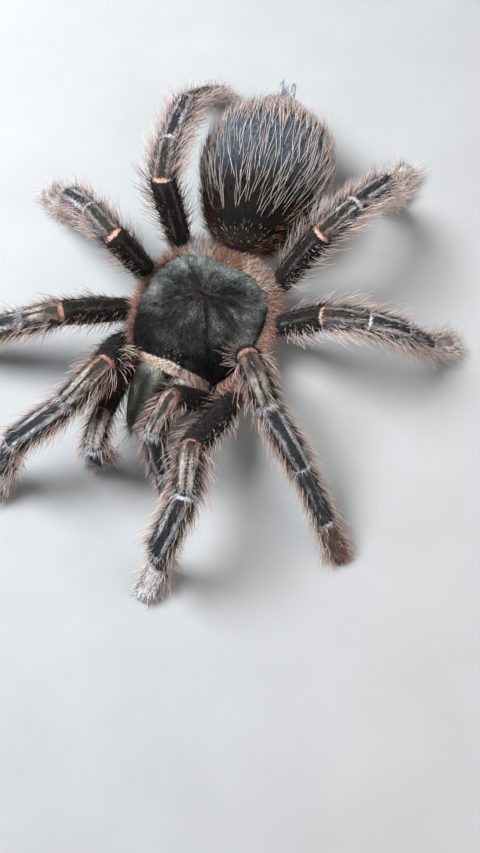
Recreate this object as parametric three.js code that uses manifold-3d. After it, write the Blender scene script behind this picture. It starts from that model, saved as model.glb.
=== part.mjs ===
// A large ground-dwelling tarantula, life size, standing on eight legs and two palps.
// Millimetres, +Z up. The head end points along -Y and the spider's left side is +X.
// Every outline reaches to the tips of the dense coat. The origin is on the floor, under
// the middle of the whole animal's box.
import * as THREE from 'three';
import Module from 'manifold-3d';
import { mergeVertices } from 'three/addons/utils/BufferGeometryUtils.js';

const wasm = await Module();
wasm.setup();

// ---------------------------------------------------------------- driving dimensions
const GAP = 0.3; // slit between neighbouring pieces
const LIMB_SIDES = 9; // facets round a limb
const JAW_SIDES = 12;
const SMALL_SIDES = 8;
const ABDOMEN_SIDES = 16;

// Carapace, the shield over the front body. Y is measured from its middle.
const RIM_HEIGHT = 9.5; // rim above the floor
const RIM_THICKNESS = 0.9;
const SHIELD_HALF_WIDTH = 11.8;
const SHIELD_WIDEST_Y = 1.5;
const SHIELD_FRONT_Y = -12.9; // straight front edge
const SHIELD_REAR_Y = 11.7;
const SHIELD_CROWN = 5.3; // highest point of the shield above its rim
const FRONT_TAPER = { reach: 17.9, power: 2.2, root: 2 };
const REAR_TAPER = { reach: 10.4, power: 2.4, root: 2.5 };
// The dome rises from the front edge, falls to the rear one, and rounds off to each side.
const DOME = {
  frontLead: 1.5, riseEnd: -7.9, fallStart: -1, rearLead: 1, fall: 0.97, power: 2.4, root: 0.62,
};
const FOVEA = { y: 3, depth: 0.7, halfWidth: 1.7, halfLength: 0.8 }; // dent where grooves meet
const GROOVE_SPREAD = 0.52; // half-width of the head region per mm in front of the fovea
const HEAD = { rise: 0.45, innerEdge: 0.9, outerEdge: 0.7, rearFade: 4, frontFade: 2 };
const SHIELD_ROWS = 19; // from the front edge to `SHIELD_END` short of the rear one
const SHIELD_END = 0.1;
const SHIELD_COLUMNS = 14;
const SHIELD_UNDERSIDE = [0.96, 0.5, -0.5, -0.96]; // shares of the half-width

// Eyes, in two rows of four on a low mound.
const MOUND = { y: -10.6, halfWidth: 1.9, halfLength: 1.35, rise: 1.5 };
const EYE_KINDS = [
  { name: 'front_middle', x: 0.62, y: -0.55, radius: 0.36 },
  { name: 'front_side', x: 1.42, y: -0.75, radius: 0.42 },
  { name: 'rear_middle', x: 0.78, y: 0.35, radius: 0.26 },
  { name: 'rear_side', x: 1.45, y: 0.3, radius: 0.34 },
];
const EYE_SUNK = 0.35; // part of the radius by which an eye's centre lies under the surface
const EYE_FACETS = { round: 7, high: 4 };

// Underside plate between the leg bases.
const STERNUM = { y: -1, halfWidth: 5, halfLength: 8.4, bottom: 3.6, top: 8.3, squareness: 0.35 };
const STERNUM_ROWS = 6;
const STERNUM_SIDES = 10;

// Jaws and fangs.
const JAW = {
  rootX: 3.75, rootY: -12.6, rootZ: 7.6, tipX: 2.5, tipY: -22.8, tipZ: 6.5,
  halfWidth: [3.45, 3.35, 2.3], halfHeight: [3.3, 4.1, 2.9],
};
// A fang hinges under the jaw's tip and curves back beneath it: offsets from that tip.
const FANG = {
  rootRadius: 1.0, tipRadius: 0.3, outward: 0.1, ahead: 0.6, below: 2.9, bendBack: 1.2,
  bendHeight: 1.3, reachBack: 7, tipHeight: 2.1, splay: 0.5, stub: 0.5,
};
const FANG_STEPS = [0, 0.2, 0.45, 0.7, 0.92];

// Hind body with its stalk and spinnerets.
const ABDOMEN = {
  centre: [-0.4, 30.5, 12.4], halfWidth: 13.4, halfLength: 17.6, halfHeight: 11, yaw: 13,
  swell: 0.06, // fuller behind than in front
  tailTaper: 0.3, // narrowing towards the spinnerets, from part `tailStart` of the half-length
  tailStart: 0.5,
  frontShift: [-1.6, 0, -2.2], // the front end bends down to the stalk, from `frontStart`
  frontStart: 0.35,
};
const ABDOMEN_ROWS = 11;
const STALK = { start: [0.2, 9.5, 7.6], end: [1.8, 17.5, 8.6], radius: 1.9 };
const SPINNERET = {
  spread: 2.2, height: 8.4, length: 7.6, radius: 0.85, splay: 2, rise: 16, rootPart: 0.84, tipShare: 0.5,
};

// Limb segments: length and [start, middle, end] radius, coat included.
const segment = (length, ...radii) => ({ length, radii });
const LEG_1 = {
  femur: segment(18.9, 2.3, 2.9, 2.7), patella: segment(10, 2.7, 2.9, 2.6),
  tibia: segment(12.4, 2.6, 3.0, 2.7), metatarsus: segment(11.3, 2.4, 2.6, 2.3),
  tarsus: segment(7.5, 2.3, 2.4, 2.0),
};
const LEG_2 = {
  femur: segment(17.4, 2.3, 2.8, 2.6), patella: segment(9.2, 2.6, 2.8, 2.5),
  tibia: segment(13.3, 2.5, 2.9, 2.6), metatarsus: segment(12.3, 2.3, 2.5, 2.2),
  tarsus: segment(8, 2.2, 2.3, 1.9),
};
const LEG_3 = {
  femur: segment(14.5, 2.3, 3.0, 2.7), patella: segment(7.3, 2.7, 2.9, 2.7),
  tibia: segment(8.7, 2.7, 3.3, 3.1), metatarsus: segment(11.8, 2.8, 3.0, 2.4),
  tarsus: segment(7.5, 2.2, 2.3, 1.9),
};
const LEG_4 = {
  femur: segment(17.7, 2.3, 2.9, 2.8), patella: segment(7.4, 2.7, 2.9, 2.7),
  tibia: segment(13.2, 2.7, 3.4, 3.2), metatarsus: segment(15.2, 2.9, 3.1, 2.4),
  tarsus: segment(8.6, 2.2, 2.3, 1.9),
};
const PALP = {
  femur: segment(13.6, 2.0, 2.2, 2.2), patella: segment(8, 2.2, 2.4, 2.2),
  tibia: segment(9.5, 2.2, 2.5, 2.2), tarsus: segment(7.6, 2.1, 2.2, 1.8),
};
const COXA_RADIUS = { inner: 1.7, outer: 2.35 };
const COXA_HEIGHT = 5.8; // height of the coxae's middle line over the floor
const HIP_HEIGHT = 7.2;
const PAD_FLATNESS = 0.86; // height of a tarsus over its width
const TOE_HEIGHT = 1.35; // middle of a toe over the floor, so that its pad is cut flat

// Pose. Angles in degrees: heading 0 is the spider's left, 90 rearward and -90 forward,
// pitch is upward. Headings: femur, patella, tibia, metatarsus, tarsus. The last pitch
// is worked out, so that each toe comes down to the floor.
const LIMBS = [
  { name: 'leg_1_right', size: LEG_1, root: [-4.2, -6.4], hip: [-12.1, -11.1],
    heading: [-60, -114, -123, -119, -119], pitch: [60, -21, -16, -63] },
  { name: 'leg_1_left', size: LEG_1, root: [4.2, -6.4], hip: [12.8, -11.7],
    heading: [-95, -68, -96, -95, -98], pitch: [42, 25, -40, -83] },
  { name: 'leg_2_right', size: LEG_2, root: [-5, -2.2], hip: [-14, -4.2],
    heading: [238, 201, 206, 206, 206], pitch: [50, -36, -28, -30] },
  { name: 'leg_2_left', size: LEG_2, root: [5, -2.2], hip: [13.8, -5.2],
    heading: [-85, -41, -32, -37, -40], pitch: [80, -34, -29, -35] },
  { name: 'leg_3_right', size: LEG_3, root: [-5, 2.2], hip: [-13.9, 4.3],
    heading: [192, 153, 160, 156, 155], pitch: [71, -14, -29, -66] },
  { name: 'leg_3_left', size: LEG_3, root: [5, 2.2], hip: [14.4, 4.9],
    heading: [7, 15, 21, 35, 44], pitch: [55, 7, -33, -56] },
  { name: 'leg_4_right', size: LEG_4, root: [-3.6, 5.8], hip: [-10.3, 12.2],
    heading: [139, 107, 103, 96, 81], pitch: [73, -3, -22, -47] },
  { name: 'leg_4_left', size: LEG_4, root: [3.6, 5.8], hip: [10.8, 13],
    heading: [45, 68, 74, 86, 84], pitch: [65, 1, -31, -69] },
  { name: 'palp_right', size: PALP, root: [-2.6, -10.6], hip: [-8.6, -14.6],
    heading: [-80, -70, -70, 190], pitch: [32, 22, -94] },
  { name: 'palp_left', size: PALP, root: [2.6, -10.6], hip: [8.6, -14.5],
    heading: [-134, -98, -55, -46], pitch: [65, -26, -58] },
];

// ---------------------------------------------------------------- solids and cuts
const WELD_DISTANCE = 1e-4;

function toSolid(geometry) {
  const bare = geometry.clone();
  bare.deleteAttribute('normal');
  bare.deleteAttribute('uv');
  const merged = mergeVertices(bare, WELD_DISTANCE);
  const mesh = new wasm.Mesh({
    numProp: 3,
    vertProperties: new Float32Array(merged.attributes.position.array),
    triVerts: new Uint32Array(merged.index.array),
  });
  return new wasm.Manifold(mesh);
}

function toGeometry(solid) {
  const mesh = solid.getMesh();
  const geometry = new THREE.BufferGeometry();
  geometry.setAttribute('position', new THREE.BufferAttribute(mesh.vertProperties, 3));
  geometry.setIndex(new THREE.BufferAttribute(mesh.triVerts, 1));
  geometry.computeVertexNormals();
  return geometry;
}

// Closed surface over a row of rings with equal numbers of points, pinched at both ends.
function skinOver(rings, firstPole, lastPole) {
  const count = rings[0].length;
  const points = [...rings.flat(), firstPole, lastPole];
  const first = points.length - 2;
  const last = points.length - 1;
  const lastRing = (rings.length - 1) * count;
  const faces = [];
  for (let i = 0; i < count; i += 1) {
    const next = (i + 1) % count;
    faces.push(first, i, next);
    faces.push(last, lastRing + next, lastRing + i);
    for (let row = 0; row < lastRing; row += count) {
      faces.push(row + i, row + count + i, row + next);
      faces.push(row + next, row + count + i, row + count + next);
    }
  }
  const geometry = new THREE.BufferGeometry().setFromPoints(points);
  geometry.setIndex(faces);
  return toSolid(geometry);
}

// Ring round a centre: `side` and `up` are unit vectors across the run of the form.
function ring(centre, side, up, halfWidth, halfHeight, sides) {
  const points = [];
  for (let i = 0; i < sides; i += 1) {
    const angle = (2 * Math.PI * (i + 0.5)) / sides;
    points.push(centre.clone()
      .addScaledVector(side, halfWidth * Math.cos(angle))
      .addScaledVector(up, halfHeight * Math.sin(angle)));
  }
  return points;
}

// Size at part `t` of a bar whose sizes are given at its start, middle and end.
const sizeAt = (sizes, t) => THREE.MathUtils.lerp(sizes[0], sizes[2], t)
  + 4 * t * (1 - t) * (sizes[1] - (sizes[0] + sizes[2]) / 2);

const BEND_RADIUS = 1.15; // of a bend's middle line, as a multiple of the bar's half-width
const CAP_SLOPE = Math.PI / 4; // where a round end has its one ring
const BAR_STEPS = [0, 0.5, 1]; // where the straight of a bar has its rings

// Round the bend between two bars, the run-in that its arc takes off each of them.
function bendRunIn(before, after) {
  const half = before.run.angleTo(after.run) / 2;
  return BEND_RADIUS * before.widths[2] * Math.tan(half);
}

// Bar with round ends, or a chain of them with round bends. Each link has a start, an end
// and [start, middle, end] half-widths, and half-heights where it isn't round.
function roundBar(links, sides = LIMB_SIDES) {
  const chain = links.map(({ start, end, widths, heights = widths }) => {
    const run = end.clone().sub(start);
    return { start, length: run.length(), run: run.normalize(), widths, heights };
  });
  const rings = [];
  const addRing = (at, run, wide, high) => {
    const side = new THREE.Vector3().crossVectors(run, vector(0, 0, 1)).normalize();
    const up = new THREE.Vector3().crossVectors(side, run);
    rings.push(ring(at, side, up, wide, high, sides));
  };
  const addAlong = (link, along, t, scale) => addRing(
    link.start.clone().addScaledVector(link.run, along),
    link.run,
    scale * sizeAt(link.widths, t),
    scale * sizeAt(link.heights, t),
  );
  const first = chain[0];
  const last = chain[chain.length - 1];
  addAlong(first, -first.widths[0] * Math.sin(CAP_SLOPE), 0, Math.cos(CAP_SLOPE));
  chain.forEach((link, i) => {
    const after = chain[i + 1];
    const from = i > 0 ? bendRunIn(chain[i - 1], link) / link.length : 0;
    const to = after ? 1 - bendRunIn(link, after) / link.length : 1;
    for (const step of BAR_STEPS) {
      const t = THREE.MathUtils.lerp(from, to, step);
      addAlong(link, t * link.length, t, 1);
    }
    if (after) {
      const half = link.run.angleTo(after.run) / 2;
      const radius = bendRunIn(link, after) / Math.tan(half);
      const inward = after.run.clone().sub(link.run).normalize();
      const middle = after.start.clone().addScaledVector(inward, radius * (1 / Math.cos(half) - 1));
      addRing(middle, link.run.clone().add(after.run).normalize(), link.widths[2], link.heights[2]);
    }
  });
  addAlong(last, last.length + last.widths[2] * Math.sin(CAP_SLOPE), 1, Math.cos(CAP_SLOPE));
  const head = first.start.clone().addScaledVector(first.run, -first.widths[0]);
  const tail = last.start.clone().addScaledVector(last.run, last.length + last.widths[2]);
  return skinOver(rings, head, tail);
}

// Keeps the part of a solid that lies ahead of a plane through `point`.
function keepAhead(solid, point, normal, inset) {
  return solid.trimByPlane(normal.toArray(), point.dot(normal) + inset);
}

const grown = (sizes, grow) => sizes.map((size) => size + grow);
const vector = (x, y, z) => new THREE.Vector3(x, y, z);

// ---------------------------------------------------------------- carapace and eyes
function shieldHalfWidth(y) {
  const taper = y < SHIELD_WIDEST_Y ? FRONT_TAPER : REAR_TAPER;
  const reach = Math.abs(y - SHIELD_WIDEST_Y) / taper.reach;
  return SHIELD_HALF_WIDTH * (1 - Math.min(reach, 1) ** taper.power) ** (1 / taper.root);
}

const smooth = (value, low, high) => THREE.MathUtils.smoothstep(value, low, high);
const bump = (x, y) => Math.exp(-(x * x) - (y * y));

// Height of the shield over its rim.
function shieldHeight(x, y) {
  const across = Math.min(Math.abs(x) / shieldHalfWidth(y), 1);
  const lengthwise = smooth(y, SHIELD_FRONT_Y - DOME.frontLead, DOME.riseEnd)
    * (1 - smooth(y, DOME.fallStart, SHIELD_REAR_Y + DOME.rearLead) * DOME.fall);
  const dome = SHIELD_CROWN * lengthwise * (1 - across ** DOME.power) ** DOME.root;
  const ahead = FOVEA.y - y;
  const headEdge = GROOVE_SPREAD * Math.max(ahead, 0);
  const head = HEAD.rise * smooth(ahead, 0, HEAD.rearFade)
    * (1 - smooth(Math.abs(x), headEdge - HEAD.innerEdge, headEdge + HEAD.outerEdge))
    * smooth(y, SHIELD_FRONT_Y, SHIELD_FRONT_Y + HEAD.frontFade);
  const fovea = FOVEA.depth * bump(x / FOVEA.halfWidth, ahead / FOVEA.halfLength);
  const mound = MOUND.rise * bump((x / MOUND.halfWidth) ** 2, ((y - MOUND.y) / MOUND.halfLength) ** 2);
  return dome + head - fovea + mound;
}

// The shield, or the space it needs when `grow` widens it on every side.
function makeShield(grow) {
  const firstY = SHIELD_FRONT_Y;
  const lastY = SHIELD_REAR_Y - SHIELD_END;
  const stretch = 1 + grow / SHIELD_REAR_Y;
  const rings = [];
  for (let row = 0; row < SHIELD_ROWS; row += 1) {
    const part = (1 - Math.cos((Math.PI * row) / (SHIELD_ROWS - 1))) / 2;
    const y = THREE.MathUtils.lerp(firstY, lastY, part);
    const half = shieldHalfWidth(y) + grow;
    const points = [];
    for (let i = 0; i <= SHIELD_COLUMNS; i += 1) {
      const x = -half * Math.cos((Math.PI * i) / SHIELD_COLUMNS);
      const height = shieldHeight((x * shieldHalfWidth(y)) / half, y);
      points.push(vector(x, y * stretch, RIM_HEIGHT + height + grow));
    }
    for (const share of SHIELD_UNDERSIDE) {
      points.push(vector(half * share, y * stretch, RIM_HEIGHT - RIM_THICKNESS - grow));
    }
    rings.push(points.reverse());
  }
  const middle = RIM_HEIGHT - RIM_THICKNESS / 2;
  return skinOver(rings, vector(0, SHIELD_FRONT_Y * stretch - GAP, middle),
    vector(0, SHIELD_REAR_Y * stretch, middle));
}

function eyePlaces() {
  const places = [];
  for (const kind of EYE_KINDS) {
    for (const [sideName, sign] of [['right', -1], ['left', 1]]) {
      const x = sign * kind.x;
      const y = MOUND.y + kind.y;
      const z = RIM_HEIGHT + shieldHeight(x, y) - EYE_SUNK * kind.radius;
      places.push({ name: `eye_${kind.name}_${sideName}`, at: vector(x, y, z), radius: kind.radius });
    }
  }
  return places;
}

function makeBall(at, radius) {
  const ball = new THREE.SphereGeometry(radius, EYE_FACETS.round, EYE_FACETS.high);
  ball.translate(at.x, at.y, at.z);
  return toSolid(ball);
}

// ---------------------------------------------------------------- underside and jaws
function makeSternum(grow) {
  const { y, halfWidth, halfLength, bottom, top, squareness } = STERNUM;
  const z = (bottom + top) / 2;
  const reach = halfLength + grow;
  const rings = [];
  for (let row = 1; row <= STERNUM_ROWS; row += 1) {
    const part = -Math.cos((Math.PI * row) / (STERNUM_ROWS + 1));
    const wide = (halfWidth + grow) * (1 - part ** 2) ** squareness;
    const high = (top - bottom) / 2 + grow;
    const station = vector(0, y + part * reach, z);
    rings.push(ring(station, vector(1, 0, 0), vector(0, 0, 1), wide, high, STERNUM_SIDES));
  }
  return skinOver(rings, vector(0, y - reach, z), vector(0, y + reach, z));
}

function makeJaw(sign, grow) {
  const start = vector(sign * JAW.rootX, JAW.rootY, JAW.rootZ);
  const end = vector(sign * JAW.tipX, JAW.tipY, JAW.tipZ);
  const widths = grown(JAW.halfWidth, grow);
  const bar = roundBar([{ start, end, widths, heights: grown(JAW.halfHeight, grow) }], JAW_SIDES);
  return keepAhead(bar, vector(0, 0, 0), vector(sign, 0, 0), GAP / 2 - grow);
}

// A fang folds back along the underside of its jaw, as a horn of shrinking rings.
function makeFang(sign, grow) {
  const root = vector(sign * (JAW.tipX + FANG.outward), JAW.tipY - FANG.ahead, JAW.tipZ - FANG.below);
  const bend = vector(root.x, root.y + FANG.bendBack, FANG.bendHeight);
  const tip = vector(root.x + sign * FANG.splay, root.y + FANG.reachBack, FANG.tipHeight);
  const path = new THREE.QuadraticBezierCurve3(root, bend, tip);
  const side = vector(1, 0, 0);
  const rings = FANG_STEPS.map((t) => {
    const up = new THREE.Vector3().crossVectors(side, path.getTangent(t)).normalize();
    const radius = THREE.MathUtils.lerp(FANG.rootRadius, FANG.tipRadius, t) + grow;
    return ring(path.getPoint(t), side, up, radius, radius, SMALL_SIDES);
  });
  const tail = path.getTangent(0).multiplyScalar(-FANG.stub - grow);
  return skinOver(rings, root.clone().add(tail), tip);
}

// ---------------------------------------------------------------- hind body
function makeAbdomen() {
  const { centre, halfWidth, halfLength, halfHeight } = ABDOMEN;
  const angle = THREE.MathUtils.degToRad(ABDOMEN.yaw);
  const run = vector(-Math.sin(angle), Math.cos(angle), 0);
  const side = vector(Math.cos(angle), Math.sin(angle), 0);
  const at = (part) => vector(...centre).addScaledVector(run, part * halfLength)
    .addScaledVector(vector(...ABDOMEN.frontShift), smooth(-part, ABDOMEN.frontStart, 1));
  const rings = [];
  for (let row = 1; row < ABDOMEN_ROWS; row += 1) {
    const part = -Math.cos((Math.PI * row) / ABDOMEN_ROWS);
    const taper = ABDOMEN.tailTaper * smooth(part, ABDOMEN.tailStart, 1);
    const full = Math.sqrt(1 - part ** 2) * (1 + ABDOMEN.swell * part - taper);
    rings.push(ring(at(part), side, vector(0, 0, 1),
      halfWidth * full, halfHeight * full, ABDOMEN_SIDES));
  }
  return skinOver(rings, at(-1), at(1));
}

function makeStalk(grow) {
  const widths = grown([STALK.radius, STALK.radius, STALK.radius], grow);
  return roundBar([{ start: vector(...STALK.start), end: vector(...STALK.end), widths }], SMALL_SIDES);
}

function makeSpinneret(sign, grow) {
  const { spread, height, length, radius, splay, rootPart, tipShare } = SPINNERET;
  const yaw = THREE.MathUtils.degToRad(ABDOMEN.yaw - sign * splay);
  const rise = THREE.MathUtils.degToRad(SPINNERET.rise);
  const rearYaw = THREE.MathUtils.degToRad(ABDOMEN.yaw);
  const rear = vector(-Math.sin(rearYaw), Math.cos(rearYaw), 0);
  const across = vector(Math.cos(rearYaw), Math.sin(rearYaw), 0);
  const start = vector(...ABDOMEN.centre).setZ(height)
    .addScaledVector(rear, rootPart * ABDOMEN.halfLength)
    .addScaledVector(across, (sign * spread) / 2);
  const run = vector(-Math.sin(yaw) * Math.cos(rise), Math.cos(yaw) * Math.cos(rise), Math.sin(rise));
  const end = start.clone().addScaledVector(run, length);
  const widths = grown([radius, radius, tipShare * radius], grow);
  return roundBar([{ start, end, widths }], SMALL_SIDES);
}

// ---------------------------------------------------------------- limbs
function direction(heading, pitch) {
  const turn = THREE.MathUtils.degToRad(heading);
  const lift = THREE.MathUtils.degToRad(pitch);
  return vector(Math.cos(turn) * Math.cos(lift), Math.sin(turn) * Math.cos(lift), Math.sin(lift));
}

// Joint positions from the hip to the toe.
function limbJoints(limb) {
  const segments = Object.values(limb.size);
  const joints = [vector(...limb.hip, HIP_HEIGHT)];
  segments.forEach(({ length }, i) => {
    const from = joints[i];
    const drop = (TOE_HEIGHT - from.z) / length;
    const pitch = i < limb.pitch.length
      ? limb.pitch[i]
      : THREE.MathUtils.radToDeg(Math.asin(Math.max(drop, -1)));
    joints.push(from.clone().addScaledVector(direction(limb.heading[i], pitch), length));
  });
  return joints;
}

// Cuts the far end, or the near end, of a segment on the plane that halves its bend.
function mitre(solid, joints, index, keepNear) {
  const before = joints[index].clone().sub(joints[index - 1]).normalize();
  const after = joints[index + 1].clone().sub(joints[index]).normalize();
  const normal = before.add(after).normalize();
  if (keepNear) normal.negate();
  return keepAhead(solid, joints[index], normal, GAP / 2);
}

// Pieces of a limb: coxa and femur in one, patella, tibia, and metatarsus and tarsus in one.
function makeLimb(limb) {
  const joints = limbJoints(limb);
  const links = Object.entries(limb.size).map(([kind, { radii }], i) => {
    const heights = kind === 'tarsus' ? radii.map((radius) => radius * PAD_FLATNESS) : radii;
    return { start: joints[i], end: joints[i + 1], widths: radii, heights };
  });
  const { inner, outer } = COXA_RADIUS;
  const widths = [inner, (inner + outer) / 2, outer];
  const coxa = { start: vector(...limb.root, COXA_HEIGHT), end: joints[0], widths };
  const chains = [[coxa, links[0]], [links[1]], [links[2]], links.slice(3)];
  const kinds = ['femur', 'patella', 'tibia', links.length > 4 ? 'foot' : 'tarsus'];
  return kinds.map((kind, i) => {
    let solid = roundBar(chains[i]);
    if (i > 0) solid = mitre(solid, joints, i, false);
    if (i < kinds.length - 1) solid = mitre(solid, joints, i + 1, true);
    return { name: `${limb.name}_${kind}`, kind, solid };
  });
}

// ---------------------------------------------------------------- the animal
const colours = {
  shield: { color: 0x2b3230, roughness: 0.55, metalness: 0 },
  eye: { color: 0x0b0a0a, roughness: 0.08, metalness: 0 },
  jaw: { color: 0x4d5648, roughness: 0.5, metalness: 0 },
  fang: { color: 0x120c0a, roughness: 0.15, metalness: 0 },
  flesh: { color: 0x2a2522, roughness: 0.9, metalness: 0 },
  abdomen: { color: 0x39434a, roughness: 0.85, metalness: 0 },
  patella: { color: 0x6b5750, roughness: 0.85, metalness: 0 },
  shin: { color: 0x4a4441, roughness: 0.9, metalness: 0 },
  foot: { color: 0x5c4f49, roughness: 0.9, metalness: 0 },
};

const animal = new THREE.Group();

function addPiece(name, solid, finish) {
  const mesh = new THREE.Mesh(toGeometry(solid), new THREE.MeshStandardMaterial(colours[finish]));
  mesh.name = name;
  animal.add(mesh);
}

function addFrontBody() {
  let shield = makeShield(0);
  for (const eye of eyePlaces()) {
    shield = shield.subtract(makeBall(eye.at, eye.radius + GAP / 3));
    addPiece(eye.name, makeBall(eye.at, eye.radius), 'eye');
  }
  addPiece('carapace', shield, 'shield');
  addPiece('sternum', makeSternum(0), 'flesh');
  for (const [sideName, sign] of [['right', -1], ['left', 1]]) {
    const jaw = makeJaw(sign, 0).subtract(makeShield(GAP)).subtract(makeSternum(GAP))
      .subtract(makeFang(sign, GAP));
    addPiece(`chelicera_${sideName}`, jaw, 'jaw');
    addPiece(`fang_${sideName}`, makeFang(sign, 0), 'fang');
  }
}

function addHindBody() {
  const abdomen = makeAbdomen();
  const stalk = makeStalk(0).subtract(makeShield(GAP)).subtract(makeSternum(GAP));
  let body = abdomen.subtract(makeStalk(GAP));
  for (const [sideName, sign] of [['right', -1], ['left', 1]]) {
    body = body.subtract(makeSpinneret(sign, GAP));
    addPiece(`spinneret_${sideName}`, makeSpinneret(sign, 0), 'foot');
  }
  addPiece('pedicel', stalk, 'flesh');
  addPiece('abdomen', body, 'abdomen');
}

function addLimbs() {
  const finishes = { femur: 'flesh', patella: 'patella', tibia: 'shin', foot: 'foot', tarsus: 'foot' };
  const obstacles = [makeShield(GAP), makeSternum(GAP), makeStalk(GAP), makeJaw(-1, GAP), makeJaw(1, GAP)];
  const floor = vector(0, 0, 0);
  for (const limb of LIMBS) {
    for (const piece of makeLimb(limb)) {
      let { solid } = piece;
      if (piece.kind === 'femur') for (const obstacle of obstacles) solid = solid.subtract(obstacle);
      solid = keepAhead(solid, floor, vector(0, 0, 1), 0);
      addPiece(piece.name, solid, finishes[piece.kind]);
    }
  }
}

addFrontBody();
addHindBody();
addLimbs();

const box = new THREE.Box3().setFromObject(animal);
const middle = box.getCenter(vector(0, 0, 0));
animal.position.set(-middle.x, -middle.y, -box.min.z);

export default animal;
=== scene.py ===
"""A life-size tarantula: one skin, shell plates, eyes, fangs, claws and a coat of mesh hairs.

Shapes are worked out in millimetres in the animal's own frame: the origin is on the floor
under the middle of the carapace, the head end points along -Y and its left side is +X.
"""
import math
from dataclasses import dataclass, replace

import bpy
import numpy as np
from mathutils import Matrix, Vector


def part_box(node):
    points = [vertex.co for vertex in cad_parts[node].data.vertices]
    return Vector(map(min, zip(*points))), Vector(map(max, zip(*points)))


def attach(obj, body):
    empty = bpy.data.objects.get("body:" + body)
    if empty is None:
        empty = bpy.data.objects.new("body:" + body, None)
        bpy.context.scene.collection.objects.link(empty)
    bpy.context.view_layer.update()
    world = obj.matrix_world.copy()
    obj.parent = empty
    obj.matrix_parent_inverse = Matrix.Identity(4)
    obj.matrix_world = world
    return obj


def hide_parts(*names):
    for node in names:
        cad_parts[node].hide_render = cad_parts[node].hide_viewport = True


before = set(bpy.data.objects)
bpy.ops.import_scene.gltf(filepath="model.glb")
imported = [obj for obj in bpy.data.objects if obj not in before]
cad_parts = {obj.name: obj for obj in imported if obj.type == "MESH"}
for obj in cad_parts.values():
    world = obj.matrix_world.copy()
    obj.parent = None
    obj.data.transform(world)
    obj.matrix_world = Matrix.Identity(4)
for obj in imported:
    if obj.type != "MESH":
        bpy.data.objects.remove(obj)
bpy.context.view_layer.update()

BODY = "root"

# ------------------------------------------------------------------ sizes shared with the solids
RIM_HEIGHT = 9.5
RIM_THICKNESS = 0.9
SHIELD_HALF_WIDTH = 11.8
SHIELD_WIDEST_Y = 1.5
SHIELD_FRONT_Y = -12.9
SHIELD_REAR_Y = 11.7
SHIELD_MIDDLE_Y = -0.75
SHIELD_CROWN = 5.3
FRONT_TAPER = dict(reach=17.9, power=2.2, root=2)
REAR_TAPER = dict(reach=10.4, power=2.4, root=2.5)
FOVEA_Y = 3
FOVEA_DEPTH = 0.7
GROOVE_SPREAD = 0.52
HEAD_RISE = 0.45
MOUND = dict(y=-10.6, half_width=1.9, half_length=1.35, rise=1.5)
EYES = {
    "front_middle": (0.62, -0.55, 0.36),
    "front_side": (1.42, -0.75, 0.42),
    "rear_middle": (0.78, 0.35, 0.26),
    "rear_side": (1.45, 0.3, 0.34),
}
EYE_SUNK = 0.35
JAW_ROOT = (3.75, -12.6, 7.6)
JAW_TIP = (2.5, -22.8, 6.5)
ABDOMEN_CENTRE = (-0.4, 30.5, 12.4)
ABDOMEN_YAW = 13
STALK = ((0.2, 9.5, 7.6), (1.8, 17.5, 8.6))
SPINNERET = dict(spread=2.2, height=8.4, length=7.6, splay=2, rise=16, root=14.8)
COXA_HEIGHT = 5.8
HIP_HEIGHT = 7.2
TOE_HEIGHT = 1.35
PAD_FLATNESS = 0.86
SIDES = (("right", -1), ("left", 1))

LEG_LENGTHS = {
    1: (18.9, 10, 12.4, 11.3, 7.5),
    2: (17.4, 9.2, 13.3, 12.3, 8),
    3: (14.5, 7.3, 8.7, 11.8, 7.5),
    4: (17.7, 7.4, 13.2, 15.2, 8.6),
}
PALP_LENGTHS = (13.6, 8, 9.5, 7.6)

# Root and hip on the ground plan, then heading and pitch of each segment. The last pitch is
# worked out, so that each toe comes down to the floor.
POSE = {
    "leg_1_right": ((-4.2, -6.4), (-12.1, -11.1), (-60, -114, -123, -119, -119), (60, -21, -16, -63)),
    "leg_1_left": ((4.2, -6.4), (12.8, -11.7), (-95, -68, -96, -95, -98), (42, 25, -40, -83)),
    "leg_2_right": ((-5, -2.2), (-14, -4.2), (238, 201, 206, 206, 206), (50, -36, -28, -30)),
    "leg_2_left": ((5, -2.2), (13.8, -5.2), (-85, -41, -32, -37, -40), (80, -34, -29, -35)),
    "leg_3_right": ((-5, 2.2), (-13.9, 4.3), (192, 153, 160, 156, 155), (71, -14, -29, -66)),
    "leg_3_left": ((5, 2.2), (14.4, 4.9), (7, 15, 21, 35, 44), (55, 7, -33, -56)),
    "leg_4_right": ((-3.6, 5.8), (-10.3, 12.2), (139, 107, 103, 96, 81), (73, -3, -22, -47)),
    "leg_4_left": ((3.6, 5.8), (10.8, 13), (45, 68, 74, 86, 84), (65, 1, -31, -69)),
    "palp_right": ((-2.6, -10.6), (-8.6, -14.6), (-80, -70, -70, 190), (32, 22, -94)),
    "palp_left": ((2.6, -10.6), (8.6, -14.5), (-134, -98, -55, -46), (65, -26, -58)),
}

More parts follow.
